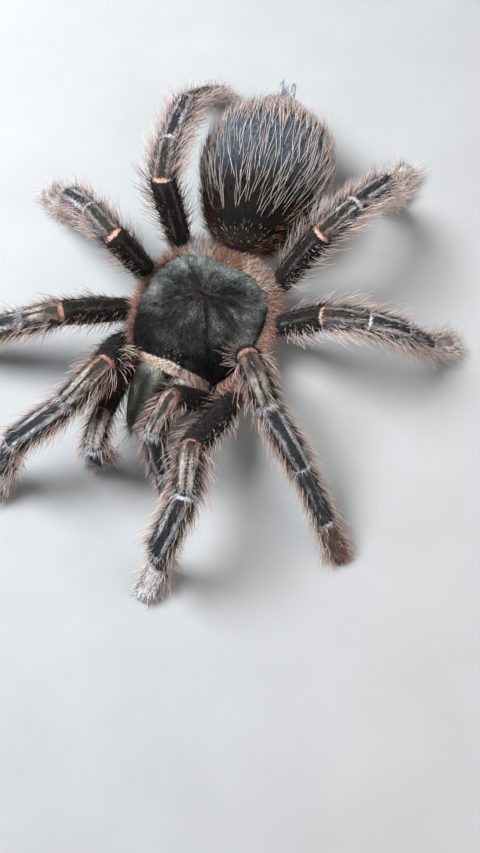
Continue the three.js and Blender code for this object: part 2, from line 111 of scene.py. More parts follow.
# ------------------------------------------------------------------ flesh under the coat
# [start, middle, end] radius of each segment, without its hairs.
LEG_FLESH = {
    "coxa": (1.5, 1.9, 2.05),
    "femur": (1.95, 2.3, 2.1),
    "patella": (2.05, 2.25, 2.05),
    "tibia": (1.95, 2.15, 1.95),
    "metatarsus": (1.75, 1.65, 1.6),
    "tarsus": (1.6, 1.75, 1.45),
}
PALP_SLIMNESS = 0.84
TOE_OVERHANG = 1.1  # flesh beyond the last joint
ABDOMEN_FLESH = dict(half_width=12.2, half_length=16.3, half_height=9.9)
STERNUM = dict(y=-1, z=(3.6 + 8.3) / 2, half_width=4.7, half_length=8.1, half_height=2.2)
STALK_RADII = (1.4, 1.4, 1.5)
SPINNERET_RADII = (0.75, 0.7, 0.35)
JAW_WIDTHS = (2.95, 2.95, 1.85)
JAW_HEIGHTS = (2.0, 3.5, 2.4)
CLAW_LENGTH = 1.1
SKIN_VOXEL = 0.3
STATION_STEP = 0.3
BEND_REACH = 1.2  # the run of a limb turns within this distance of each joint

# ------------------------------------------------------------------ colours, linear
BLACK = (0.006, 0.005, 0.005)
SOOT = (0.014, 0.012, 0.012)
OLIVE = (0.026, 0.024, 0.021)
SLATE = (0.074, 0.086, 0.106)
MOSS = (0.140, 0.152, 0.142)
JAW_OLIVE = (0.430, 0.430, 0.350)
JAW_SLATE = (0.070, 0.090, 0.100)
COXA_TAN = (0.180, 0.088, 0.056)
BROWN = (0.060, 0.032, 0.022)
RUST = (0.300, 0.110, 0.045)
SALMON = (0.350, 0.175, 0.132)
PEACH = (0.520, 0.325, 0.255)
ROSE = (0.390, 0.248, 0.222)
MAUVE = (0.200, 0.110, 0.130)
CREAM = (0.660, 0.540, 0.460)
LILAC = (0.560, 0.550, 0.590)
FROST = (0.740, 0.720, 0.740)
HALO = (0.770, 0.690, 0.655)
GOLD = (0.470, 0.370, 0.240)
PIT = (0.010, 0.0012, 0.0012)
PALE_BLUE = (0.600, 0.620, 0.700)
STRIPE_NEAR = (0.280, 0.165, 0.130)
STRIPE_FAR = (0.350, 0.300, 0.275)
STRIPE_COOL = (0.400, 0.410, 0.430)
EYE_BLACK = (0.012, 0.011, 0.014)
FANG_BROWN = (0.020, 0.008, 0.006)
CLAW_BLACK = (0.012, 0.009, 0.008)


def smooth(value, low, high):
    part = np.clip((value - low) / (high - low), 0, 1)
    return part * part * (3 - 2 * part)


def unit(vectors):
    return vectors / np.linalg.norm(vectors, axis=-1, keepdims=True)


def flattened(vectors, normals):
    """The share of `vectors` that lies square to `normals`, as unit vectors."""
    return unit(vectors - (vectors * normals).sum(-1, keepdims=True) * normals)


def around(run, turn):
    """Unit vectors square to `run`, at the angles `turn` from its top."""
    side = unit(np.cross(run, (0, 0, 1)))
    up = np.cross(side, run)
    return np.sin(turn)[:, None] * side + np.cos(turn)[:, None] * up


def wrapped(turn):
    """An angle as a place from 0 to 1 on an unwrap."""
    return (turn / (2 * np.pi)) % 1


def mix(first, second, amount):
    """Blends two colours, or rows of them, by one amount for each row."""
    amount = np.asarray(amount)[..., None]
    return np.asarray(first) * (1 - amount) + np.asarray(second) * amount


def cloud(x, y, seed):
    """Smooth random field from -1 to 1 with features about one unit across."""
    lattice = np.random.default_rng(seed).uniform(-1, 1, (64, 64))
    low_x, low_y = np.floor(x).astype(int), np.floor(y).astype(int)
    part_x, part_y = smooth(x - low_x, 0, 1), smooth(y - low_y, 0, 1)
    value = 0
    for step_x, weight_x in ((0, 1 - part_x), (1, part_x)):
        for step_y, weight_y in ((0, 1 - part_y), (1, part_y)):
            corner = lattice[(low_x + step_x) % 64, (low_y + step_y) % 64]
            value = value + weight_x * weight_y * corner
    return value


def size_at(sizes, t):
    """Size at the share `t` of a length, through the sizes at its start, middle and end."""
    start, middle, end = sizes
    return start + (end - start) * t + 4 * t * (1 - t) * (middle - (start + end) / 2)


def frame_shift():
    """The animal's own origin in the row frame, in millimetres, read off the carapace."""
    low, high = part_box("carapace")
    middle = (low + high) * 500
    return np.array([middle.x, middle.y - SHIELD_MIDDLE_Y, 0])


SHIFT = frame_shift()


def to_row(points):
    return (np.asarray(points, float) + SHIFT) / 1000


# ------------------------------------------------------------------ meshes
def make_piece(name, points, polygons, material, slot, nodes=(), tints=BLACK, uvs=None):
    """A smooth mesh object on the body. `polygons` is a list of index arrays."""
    mesh = bpy.data.meshes.new(name)
    corners = np.concatenate([rows.ravel() for rows in polygons]).astype(np.int32)
    sizes = np.concatenate([np.full(len(rows), rows.shape[1]) for rows in polygons])
    mesh.vertices.add(len(points))
    mesh.vertices.foreach_set("co", to_row(points).ravel().astype(np.float32))
    mesh.loops.add(len(corners))
    mesh.loops.foreach_set("vertex_index", corners)
    mesh.polygons.add(len(sizes))
    mesh.polygons.foreach_set("loop_start", (np.cumsum(sizes) - sizes).astype(np.int32))
    mesh.update(calc_edges=True)
    mesh.shade_smooth()
    set_tints(mesh, tints)
    if uvs is not None:
        layer = mesh.uv_layers.new(name="OFBake")
        layer.data.foreach_set("uv", uvs.ravel().astype(np.float32))
    mesh.materials.append(material)
    piece = bpy.data.objects.new(name, mesh)
    bpy.context.scene.collection.objects.link(piece)
    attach(piece, BODY)
    if nodes:
        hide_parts(*nodes)
    return piece


def set_tints(mesh, tints):
    """Stores one colour, or one for each point, as the attribute that the materials read."""
    layer = mesh.attributes.new("tint", "FLOAT_COLOR", "POINT")
    rgba = np.ones((len(mesh.vertices), 4), np.float32)
    rgba[:, :3] = tints
    layer.data.foreach_set("color", rgba.ravel())


def loft(rings, first_pole, last_pole):
    """Closed surface over rings (rows, sides, 3), pinched at both ends: points and polygons."""
    rows, sides = rings.shape[:2]
    points = np.concatenate([rings.reshape(-1, 3), [first_pole], [last_pole]])
    here = np.arange(sides)
    after = np.roll(here, -1)
    base = np.arange(rows - 1)[:, None] * sides
    quads = np.stack([base + here, base + after, base + sides + after, base + sides + here], -1)
    first = np.stack([np.full(sides, rows * sides), after, here], -1)
    last_row = (rows - 1) * sides
    last = np.stack([np.full(sides, rows * sides + 1), last_row + here, last_row + after], -1)
    return points, [quads.reshape(-1, 4), first, last]


def merged(shapes):
    """Joins pairs of points and polygons into one pair."""
    points, polygons, count = [], [], 0
    for shape_points, shape_polygons in shapes:
        points.append(shape_points)
        polygons += [rows + count for rows in shape_polygons]
        count += len(shape_points)
    return np.concatenate(points), polygons


def ring_angles(sides):
    return np.linspace(0, 2 * np.pi, sides, endpoint=False)


def rounded_bar(start, end, widths, heights=None, sides=24, rows=26):
    """Bar with round ends, its sizes given at its start, middle and end."""
    start, end = np.array(start, float), np.array(end, float)
    heights = heights or widths
    run = unit(end - start)
    side = unit(np.cross(run, (0, 0, 1)))
    up = np.cross(side, run)
    length = np.linalg.norm(end - start)
    turn = np.linspace(0, np.pi, rows + 2)[1:-1]
    along = length / 2 - (length / 2 + widths[0]) * np.cos(turn)
    t = np.clip(along / length, 0, 1)
    over = np.maximum(-along / widths[0], (along - length) / widths[2])
    cap = np.sqrt(np.clip(1 - np.clip(over, 0, 1) ** 2, 0.02, 1))
    angle = ring_angles(sides)
    wide = (size_at(widths, t) * cap)[:, None, None] * np.cos(angle)[None, :, None] * side
    high = (size_at(heights, t) * cap)[:, None, None] * np.sin(angle)[None, :, None] * up
    rings = start + along[:, None, None] * run + wide + high
    return loft(rings, start - run * widths[0], end + run * widths[2])


# ------------------------------------------------------------------ limbs
def direction(heading, pitch):
    turn, lift = math.radians(heading), math.radians(pitch)
    level = math.cos(lift)
    return np.array([math.cos(turn) * level, math.sin(turn) * level, math.sin(lift)])


class Limb:
    """A leg or palp as a row of stations along its middle line, with the frame at each."""

    def __init__(self, name):
        root, hip, headings, pitches = POSE[name]
        self.name = name
        self.is_palp = name.startswith("palp")
        self.number = 0 if self.is_palp else int(name[4])
        self.rear = self.number > 2
        lengths = PALP_LENGTHS if self.is_palp else LEG_LENGTHS[self.number]
        self.kinds = list(LEG_FLESH)
        if self.is_palp:
            self.kinds.remove("metatarsus")
        joints = [np.array([*root, COXA_HEIGHT]), np.array([*hip, HIP_HEIGHT])]
        outward = math.degrees(math.atan2(hip[1] - root[1], hip[0] - root[0]))
        for i, length in enumerate(lengths):
            drop = (TOE_HEIGHT - joints[-1][2]) / length
            pitch = pitches[i] if i < len(pitches) else math.degrees(math.asin(max(drop, -1)))
            joints.append(joints[-1] + length * direction(headings[i], pitch))
        self.joints = np.array(joints)
        self.place_stations((outward, *headings))

    def place_stations(self, headings):
        steps = np.diff(self.joints, axis=0)
        lengths = np.linalg.norm(steps, axis=1)
        runs = steps / lengths[:, None]
        marks = np.concatenate([[0], np.cumsum(lengths)])
        self.marks = marks
        self.length = marks[-1] + TOE_OVERHANG
        s = np.arange(0, self.length, STATION_STEP)
        toe = self.joints[-1] + runs[-1] * TOE_OVERHANG
        knots = np.append(marks, self.length)
        corners = np.vstack([self.joints, toe])

        def on_line(at):
            at = np.clip(at, 0, self.length)
            return np.stack([np.interp(at, knots, corners[:, k]) for k in range(3)], -1)

        link, t = self.place_of(s)
        self.s = s
        self.point = (on_line(s - 0.8) + 2 * on_line(s) + on_line(s + 0.8)) / 4
        self.run = unit(on_line(s + BEND_REACH) - on_line(s - BEND_REACH))
        self.side = flattened(self.level_sides(headings), self.run)
        self.up = np.cross(self.side, self.run)
        self.width = self.flesh_radius(link, t, lengths)
        pad = smooth(link + t, len(runs) - 1, len(runs) - 0.8)
        self.height = self.width * (1 - (1 - PAD_FLATNESS) * pad)
        self.bend = np.gradient(self.run, STATION_STEP, axis=0)

    def place_of(self, s):
        """Which segment each distance falls in, and the share of that segment's length."""
        link = np.clip(np.searchsorted(self.marks, s, side="right") - 1, 0, len(self.kinds) - 1)
        return link, np.clip((s - self.marks[link]) / np.diff(self.marks)[link], 0, 1)

    def level_sides(self, headings):
        """Level vectors to the side, constant along each segment and turning at the joints."""
        turns = np.radians(headings)
        sides = np.stack([np.sin(turns), -np.cos(turns), 0 * turns], -1)
        starts, ends = self.marks[:-1], self.marks[1:]
        middles = (starts + ends) / 2
        near = np.minimum(middles - starts - BEND_REACH, ends - middles - BEND_REACH)
        knots = np.stack([middles - near, middles + near], -1).ravel()
        rows = np.repeat(sides, 2, axis=0)
        return np.stack([np.interp(self.s, knots, rows[:, k]) for k in range(3)], -1)

    def flesh_radius(self, link, t, lengths):
        """Radius at each station, pinched a little at the joints and rounded at the toe."""
        slim = PALP_SLIMNESS if self.is_palp else 1
        sizes = np.array([LEG_FLESH[kind] for kind in self.kinds]) * slim
        radius = size_at(sizes[link].T, t)
        from_joint = np.minimum(t, 1 - t) * lengths[link]
        crease = 0.12 * np.exp(-((from_joint / 0.45) ** 2))
        crease = crease - 0.04 * np.exp(-(((from_joint - 1.2) / 0.5) ** 2))
        radius = radius * (1 - crease * (link > 0))
        over = np.clip((self.s - (self.length - radius)) / radius, 0, 0.97)
        return radius * np.sqrt(1 - over**2)

    def at(self, s, name):
        """The value called `name` at the distances `s` along the limb."""
        rows = getattr(self, name)
        if rows.ndim == 1:
            return np.interp(s, self.s, rows)
        return np.stack([np.interp(s, self.s, rows[:, k]) for k in range(3)], -1)

    def mesh(self, sides=28):
        angle = ring_angles(sides)[None, :, None]
        wide = self.width[:, None, None] * np.sin(angle) * self.side[:, None]
        high = self.height[:, None, None] * np.cos(angle) * self.up[:, None]
        rings = self.point[:, None] + wide + high
        first = self.point[0] - self.run[0] * self.width[0] * 0.5
        last = self.point[-1] + self.run[-1] * 0.1
        points, polygons = loft(rings, first, last)
        s = np.append(np.repeat(self.s, sides), [0, self.length])
        turn = np.append(np.tile(ring_angles(sides), len(self.s)), [0, 0])
        return points, polygons, limb_tint(self, s, turn)

    def roots(self, s, turn):
        """Roots of hairs at distances `s` along the limb and angles `turn` from its top."""
        run, side, up = self.at(s, "run"), self.at(s, "side"), self.at(s, "up")
        normal = unit(np.sin(turn)[:, None] * side + np.cos(turn)[:, None] * up)
        offset = (self.at(s, "width") * np.sin(turn))[:, None] * side
        offset = offset + (self.at(s, "height") * np.cos(turn))[:, None] * up
        pinch = (self.at(s, "bend") * normal).sum(-1) * self.at(s, "width")
        point = self.at(s, "point") + offset
        keep = (pinch < 0.9) & (point[:, 2] > 0)
        chart = np.stack([s / self.length, wrapped(turn)], -1)
        return Roots(point, normal, flattened(run, normal), chart, s=s, turn=turn).only(keep)


def band(value, low, high, soft):
    """1 between `low` and `high`, fading to 0 outside them."""
    return smooth(value, low - soft, low + soft) * (1 - smooth(value, high - soft, high + soft))


# Pale stripes along the top of each segment: distance from the middle line at its start and
# end, half-width, share of the segment that they start and stop at, and strength.
STRIPES = {
    "femur": (0.95, 0.8, 0.16, 0.25, 0.95, 0.3),
    "patella": (1.12, 0.7, 0.5, 0.03, 0.96, 1.0),
    "tibia": (1.15, 0.95, 0.3, 0.03, 0.97, 0.85),
    "metatarsus": (0.8, 0.6, 0.22, 0.04, 0.6, 0.45),
}
REAR_KNEE_STRIPE = 0.24  # half-width of the stripes on the patellae of legs 3 and 4
PLAIN_FEMUR = 0.04  # strength of the stripes on the femurs of the palps and front legs
GROUND = {
    "coxa": COXA_TAN,
    "femur": SOOT,
    "patella": OLIVE,
    "tibia": (0.025, 0.024, 0.027),
    "metatarsus": (0.031, 0.031, 0.035),
}
# Pale rings at the joints: where each starts and ends from the joint, and its colour.
RING_PLACES = {
    "patella": (-0.16, 0.05),
    "tibia": (0, 0.35),
    "metatarsus": (0, 0.35),
    "tarsus": (0, 0.4),
}
RING_TINTS = {"patella": SALMON, "tibia": LILAC, "metatarsus": LILAC, "tarsus": CREAM}
KNEE_TINTS = {0: SALMON, 1: SALMON, 2: SALMON, 3: PEACH, 4: PEACH}
FOOT_TINTS = {  # of the middle of each foot and of its edge, by leg
    0: ((0.17, 0.18, 0.21), LILAC),
    1: ((0.42, 0.40, 0.40), FROST),
    2: ((0.070, 0.052, 0.042), (0.26, 0.125, 0.088)),
    3: ((0.20, 0.165, 0.15), HALO),
    4: ((0.26, 0.22, 0.20), HALO),
}


def striped(limb, index, ground, s, turn, t):
    """Adds a segment's pale stripes, and slate outer edges on the rear patellae."""
    kind = limb.kinds[index]
    near, far, half, low, high, strength = STRIPES[kind]
    across = np.abs(limb.at(s, "width") * np.sin(turn))
    top = smooth(np.cos(turn), 0.1, 0.4)
    if kind == "femur" and limb.number < 2:
        strength = PLAIN_FEMUR
    if kind == "patella" and limb.rear:
        half = REAR_KNEE_STRIPE
        ground = mix(ground, SLATE, 0.75 * top * smooth(across, 1.15, 1.55))
    middle = near + (far - near) * t
    outside = smooth(np.abs(across - middle), half - 0.1, half + 0.1)
    stripe = top * band(t, low, high, 0.03) * (1 - outside)
    tone = mix(STRIPE_NEAR, STRIPE_FAR, smooth(t, 0.0, 0.5))
    if kind in ("tibia", "metatarsus"):
        tone = mix(tone, STRIPE_COOL, smooth(t, 0.0, 0.25))
    fine = 0.7 + 0.75 * cloud(s * 0.35, turn * 11 + 60, limb.number + 7 * index)
    return mix(ground, tone, strength * np.clip(stripe * fine, 0, 1))


def segment_tint(limb, index, s, turn, t):
    """Colour of one of the limb's segments, at every place asked for."""
    kind = limb.kinds[index]
    if kind == "tarsus":
        halo = smooth(np.abs(np.sin(turn)), 0.5, 0.85) + smooth(t, 0.7, 0.95)
        middle_tint, edge_tint = FOOT_TINTS[limb.number]
        return mix(np.tile(middle_tint, (len(s), 1)), edge_tint, 0.6 * np.clip(halo, 0, 1))
    ground = np.tile(GROUND[kind], (len(s), 1))
    ground = mix(ground, BLACK, 0.6 * (1 - smooth(np.cos(turn), -0.6, 0.2)))
    return striped(limb, index, ground, s, turn, t) if kind in STRIPES else ground


def limb_tint(limb, s, turn):
    """Colour of the skin, and of the hairs rooted there: the same marks for both."""
    link, t = limb.place_of(s)
    colour = np.zeros((len(s), 3))
    for index in range(len(limb.kinds)):
        here = (link == index)[:, None]
        colour = np.where(here, segment_tint(limb, index, s, turn, t), colour)
    for mark, kind in zip(limb.marks, limb.kinds):
        if kind in RING_TINTS:
            ring = band(s - mark, *RING_PLACES[kind], 0.08) * smooth(np.cos(turn), -0.3, 0.1)
            tone = KNEE_TINTS[limb.number] if kind == "patella" else RING_TINTS[kind]
            colour = mix(colour, tone, ring)
    return colour


# ------------------------------------------------------------------ hairs
@dataclass
class Roots:
    """Where hairs grow: place, outward normal, the way the coat lies, and place on the unwrap."""
    point: np.ndarray
    normal: np.ndarray
    lie: np.ndarray
    chart: np.ndarray
    s: np.ndarray = None
    turn: np.ndarray = None

    def only(self, keep):
        parts = (self.point, self.normal, self.lie, self.chart, self.s, self.turn)
        return Roots(*[None if part is None else part[keep] for part in parts])

    def __len__(self):
        return len(self.point)


@dataclass(frozen=True)
class Hair:
    """One sort of hair, in millimetres and degrees."""
    length: tuple  # shortest and longest
    radius: float  # at the root
    lift: tuple  # least and most rise off the skin
    curl: float  # share of that lift lost towards the tip
    sway: float  # sideways wave
    droop: float  # sag
    steps: int  # pieces of its path

    def grown(self, factor):
        low, high = self.length
        return replace(self, length=(low * factor, high * factor))


VELVET = Hair((0.8, 1.5), 0.07, (10, 26), 0.7, 0.15, 0, 2)
SHORT = Hair((1.0, 2.0), 0.058, (8, 24), 0.7, 0.13, 0, 2)
GUARD = Hair((1.7, 3.0), 0.055, (24, 48), 0.6, 0.2, 0.05, 3)
FUZZ = Hair((1.6, 3.4), 0.042, (28, 66), 0.5, 0.25, 0.05, 3)
SETA = Hair((3.2, 6.0), 0.058, (36, 66), 0.75, 0.22, 0.12, 5)
TUFT = Hair((0.9, 2.1), 0.038, (25, 72), 0.4, 0.35, 0, 3)
RUFF = Hair((1.6, 3.4), 0.05, (30, 65), 0.6, 0.4, 0.1, 4)
LONG_HAIR = Hair((5, 8.5), 0.072, (6, 16), 0.8, 0.13, 0.02, 7)
FLECK = Hair((0.8, 1.8), 0.055, (8, 26), 0.1, 0.25, 0, 2)
RUMP_FRINGE = Hair((2.2, 4.6), 0.07, (8, 30), 0.6, 0.2, 0.05, 3)
MIDDLE_TUFT = Hair((2.8, 4.8), 0.07, (-4, 8), 1, 0.05, -0.1, 4)
SPINNERET_NAP = Hair((0.6, 1.3), 0.045, (2, 16), 0.8, 0.15, 0, 3)
SHIELD_NAP = Hair((0.7, 1.5), 0.055, (10, 36), 0.7, 0.35, 0, 2)
BAND_NAP = Hair((0.5, 1.0), 0.08, (8, 40), 0.9, 0.25, -0.1, 2)
BROW_HAIR = Hair((2.5, 4.5), 0.055, (25, 60), 1.3, 0.25, 0.15, 6)
RIM_FRINGE = Hair((1.4, 4.4), 0.055, (-8, 44), 0.4, 0.6, 0.1, 3)
SKIRT = Hair((2.2, 6.2), 0.06, (-8, 46), 0.7, 0.5, 0.1, 4)
JAW_CURL = Hair((3, 6.5), 0.055, (30, 60), 1.0, 0.35, 0.35, 6)
JAW_TIP_HAIR = Hair((1.5, 3.4), 0.05, (10, 50), 1.0, 0.3, 0.2, 4)

PATCH = 0.003  # size of each hair's patch on the unwrap
FLOOR_CLEARANCE = 0.06
ROOT_DEPTH = 0.15
TIP_SHRINK = 0.85
STRAND_SIDES = 3


def strand_paths(roots, form, rng, scale):
    """Points along the middle of each hair: rows of (steps + 1, 3)."""
    count, steps = len(roots), form.steps
    length = rng.uniform(*form.length, count) * scale
    lift = rng.uniform(*form.lift, count)
    phase = rng.uniform(0, 2 * np.pi, count)
    skew = rng.normal(0, form.sway, count)
    across = np.cross(roots.lie, roots.normal)
    points = [roots.point - ROOT_DEPTH * roots.normal]
    for step in range(steps):
        part = (step + 0.5) / steps
        angle = np.radians(lift * (1 - form.curl * part))[:, None]
        wave = (skew + form.sway * np.sin(phase + 5 * part))[:, None]
        heading = np.cos(angle) * roots.lie + np.sin(angle) * roots.normal + wave * across
        heading[:, 2] -= form.droop * (0.3 + part)
        points.append(points[-1] + unit(heading) * (length / steps)[:, None])
    paths = np.stack(points, 1)
    paths[..., 2] = np.maximum(paths[..., 2], FLOOR_CLEARANCE)
    return paths


class Coat:
    """Gathers batches of hairs into one mesh with one bake patch for each hair."""

    def __init__(self, seed):
        self.rng = np.random.default_rng(seed)
        self.points, self.tints, self.quads, self.tris = [], [], [], []
        self.quad_uvs, self.tri_uvs = [], []
        self.count = 0

    def shares(self, roots, low=0):
        """One random number for each root, from `low` to 1."""
        return self.rng.uniform(low, 1, len(roots))

    def any_turn(self, count):
        return self.rng.uniform(-np.pi, np.pi, count)

    def comb(self, roots, form, root_tint, tip_tint, shade=(0.7, 1.3), scale=1):
        """Adds one hair at each root, coloured from `root_tint` to `tip_tint`."""
        paths = strand_paths(roots, form, self.rng, scale)
        hairs, knots = paths.shape[:2]
        rings = knots - 1
        runs = unit(np.gradient(paths, axis=1) + 1e-9)
        side = unit(np.cross(runs, (0.31, 0.17, 1.0)))
        other = np.cross(runs, side)
        part = np.linspace(0, 1, knots)
        radius = form.radius * (1 - TIP_SHRINK * part[:rings] ** 1.5)
        angle = ring_angles(STRAND_SIDES)
        spokes = side[:, :rings, None] * np.cos(angle)[:, None]
        spokes = spokes + other[:, :rings, None] * np.sin(angle)[:, None]
        shell = paths[:, :rings, None] + spokes * radius[:, None, None]
        size = rings * STRAND_SIDES + 1
        points = np.concatenate([shell.reshape(hairs, -1, 3), paths[:, -1:]], 1)
        share = np.append(np.repeat(part[:rings], STRAND_SIDES), 1.0)
        bright = self.rng.uniform(*shade, hairs)[:, None, None]
        root_tint = np.broadcast_to(np.asarray(root_tint, float), (hairs, 3))[:, None]
        tip_tint = np.broadcast_to(np.asarray(tip_tint, float), (hairs, 3))[:, None]
        tint = (root_tint * (1 - share)[None, :, None] + tip_tint * share[None, :, None]) * bright
        quads, quad_uv, tris, tri_uv = strand_pattern(rings)
        base = self.count + np.arange(hairs)[:, None, None] * size
        place = (0.01 + 0.98 * roots.chart)[:, None, None]
        self.points.append(points.reshape(-1, 3))
        self.tints.append(tint.reshape(-1, 3))
        self.quads.append((base + quads).reshape(-1, 4))
        self.tris.append((base + tris).reshape(-1, 3))
        self.quad_uvs.append((place + PATCH * quad_uv).reshape(-1, 2))
        self.tri_uvs.append((place + PATCH * tri_uv).reshape(-1, 2))
        self.count += hairs * size

    def finish(self, name, material, slot):
        polygons = [np.concatenate(self.quads), np.concatenate(self.tris)]
        uvs = np.concatenate(self.quad_uvs + self.tri_uvs)
        points, tints = np.concatenate(self.points), np.concatenate(self.tints)
        make_piece(name, points, polygons, material, slot, (), tints, uvs)


def strand_pattern(rings):
    """Polygons of one hair, and their places within its unit bake patch."""
    quads, quad_uv, tris, tri_uv = [], [], [], []
    for k in range(rings):
        low, high = k / rings, (k + 1) / rings
        for c in range(STRAND_SIDES):
            after = (c + 1) % STRAND_SIDES
            left, right = c / STRAND_SIDES, (c + 1) / STRAND_SIDES
            here = k * STRAND_SIDES
            if k < rings - 1:
                quads.append((here + c, here + after, here + 3 + after, here + 3 + c))
                quad_uv.append(((left, low), (right, low), (right, high), (left, high)))
            else:
                tris.append((here + c, here + after, here + 3))
                tri_uv.append(((left, low), (right, low), ((left + right) / 2, high)))
    tris.append((2, 1, 0))
    tri_uv.append(((0.0, 0.0), (0.1, 0.0), (0.0, 0.1)))
    return np.array(quads), np.array(quad_uv), np.array(tris), np.array(tri_uv)


# ------------------------------------------------------------------ materials
def new_material(name, **sockets):
    material = bpy.data.materials.new(name)
    material.use_nodes = True
    tree = material.node_tree
    shader = tree.nodes["Principled BSDF"]
    for socket, value in sockets.items():
        shader.inputs[socket.replace("_", " ")].default_value = value
    return material, tree, shader


def add_noise(tree, scale, detail=4, roughness=0.6):
    where = tree.nodes.new("ShaderNodeTexCoord")
    noise = tree.nodes.new("ShaderNodeTexNoise")
    noise.inputs["Scale"].default_value = scale
    noise.inputs["Detail"].default_value = detail
    noise.inputs["Roughness"].default_value = roughness
    tree.links.new(where.outputs["Object"], noise.inputs["Vector"])
    return noise.outputs["Fac"]


def add_range(tree, value, low, high, from_low=0.3, from_high=0.7):
    node = tree.nodes.new("ShaderNodeMapRange")
    limits = {"From Min": from_low, "From Max": from_high, "To Min": low, "To Max": high}
    for socket, number in limits.items():
        node.inputs[socket].default_value = number
    tree.links.new(value, node.inputs["Value"])
    return node.outputs["Result"]


def tinted_material(name, speckle, speckle_scale, roughness, specular, bump=None):
    """Colour from the tint attribute, speckled, with a fine bump: its scale, strength and depth."""
    sockets = dict(Roughness=roughness, Specular_IOR_Level=specular)
    material, tree, shader = new_material(name, **sockets)
    tint = tree.nodes.new("ShaderNodeAttribute")
    tint.attribute_name = "tint"
    scale = tree.nodes.new("ShaderNodeVectorMath")
    scale.operation = "SCALE"
    tree.links.new(tint.outputs["Color"], scale.inputs[0])
    tree.links.new(add_range(tree, add_noise(tree, speckle_scale), *speckle), scale.inputs["Scale"])
    tree.links.new(scale.outputs["Vector"], shader.inputs["Base Color"])
    if bump:
        bump_scale, strength, depth = bump
        node = tree.nodes.new("ShaderNodeBump")
        node.inputs["Strength"].default_value = strength
        node.inputs["Distance"].default_value = depth
        tree.links.new(add_noise(tree, bump_scale, 5, 0.7), node.inputs["Height"])
        tree.links.new(node.outputs["Normal"], shader.inputs["Normal"])
    return material


DULL = 0.15  # specular level of velvet, which hardly shines
GLOSSY = 0.5
SKIN = tinted_material("skin", (0.55, 1.45), 1500, 0.72, DULL, (5200, 0.8, 0.00025))
SHELL = tinted_material("shell", (0.5, 1.5), 900, 0.5, DULL, (4200, 0.9, 0.0002))
HAIR = tinted_material("hair", (0.8, 1.2), 700, 0.55, DULL)
ABDOMEN_HAIR = tinted_material("abdomen_hair", (0.8, 1.2), 500, 0.5, DULL)
CLAW = tinted_material("claw", (0.7, 1.3), 1500, 0.25, GLOSSY, (3000, 0.2, 0.00005))
EYE = tinted_material("eye", (0.9, 1.1), 2500, 0.05, GLOSSY, (1500, 0.02, 0.00002))


# ------------------------------------------------------------------ carapace
def shield_half_width(y):
    taper_front = np.clip((SHIELD_WIDEST_Y - y) / FRONT_TAPER["reach"], 0, 1)
    taper_rear = np.clip((y - SHIELD_WIDEST_Y) / REAR_TAPER["reach"], 0, 1)
    front = (1 - taper_front ** FRONT_TAPER["power"]) ** (1 / FRONT_TAPER["root"])
    rear = (1 - taper_rear ** REAR_TAPER["power"]) ** (1 / REAR_TAPER["root"])
    return SHIELD_HALF_WIDTH * np.where(y < SHIELD_WIDEST_Y, front, rear)


GROOVE_BEARINGS = (28, 62, 96, 130)  # of the grooves on each side, degrees from straight ahead
GROOVE_DEPTH = 0.28
SHIELD_INSET = 0.35


def shield_height(x, y):
    """Height of the bare shield over its rim, with its grooves."""
    across = np.minimum(np.abs(x) / np.maximum(shield_half_width(y), 0.1), 1)
    lengthwise = smooth(y, SHIELD_FRONT_Y - 1.5, SHIELD_FRONT_Y + 5)
    lengthwise = lengthwise * (1 - smooth(y, -1, SHIELD_REAR_Y + 1) * 0.97)
    dome = SHIELD_CROWN * lengthwise * (1 - across**2.4) ** 0.62
    head_edge = GROOVE_SPREAD * np.maximum(FOVEA_Y - y, 0)
    head = HEAD_RISE * (1 - smooth(np.abs(x), head_edge - 0.9, head_edge + 0.7))
    head = head * smooth(FOVEA_Y - y, 0, 4) * smooth(y, SHIELD_FRONT_Y, SHIELD_FRONT_Y + 2)
    fovea = FOVEA_DEPTH * np.exp(-((x / 1.7) ** 2) - ((y - FOVEA_Y) / 0.8) ** 2)
    mound_x = (x / MOUND["half_width"]) ** 2
    mound_y = ((y - MOUND["y"]) / MOUND["half_length"]) ** 2
    mound = MOUND["rise"] * np.exp(-(mound_x**2) - mound_y**2)
    return dome + head - fovea + mound - grooves(x, y)


def grooves(x, y):
    depth = np.zeros(np.shape(x))
    reach = np.hypot(x, y - FOVEA_Y)
    for bearing in GROOVE_BEARINGS:
        run_x, run_y = math.sin(math.radians(bearing)), -math.cos(math.radians(bearing))
        off_line = np.abs(np.abs(x) * run_y - (y - FOVEA_Y) * run_x)
        ahead = np.abs(x) * run_x + (y - FOVEA_Y) * run_y
        fade = smooth(ahead, 0.8, 2.5) * (1 - smooth(reach, 7, 11))
        depth = depth + GROOVE_DEPTH * fade * np.exp(-((off_line / 0.45) ** 2))
    return depth


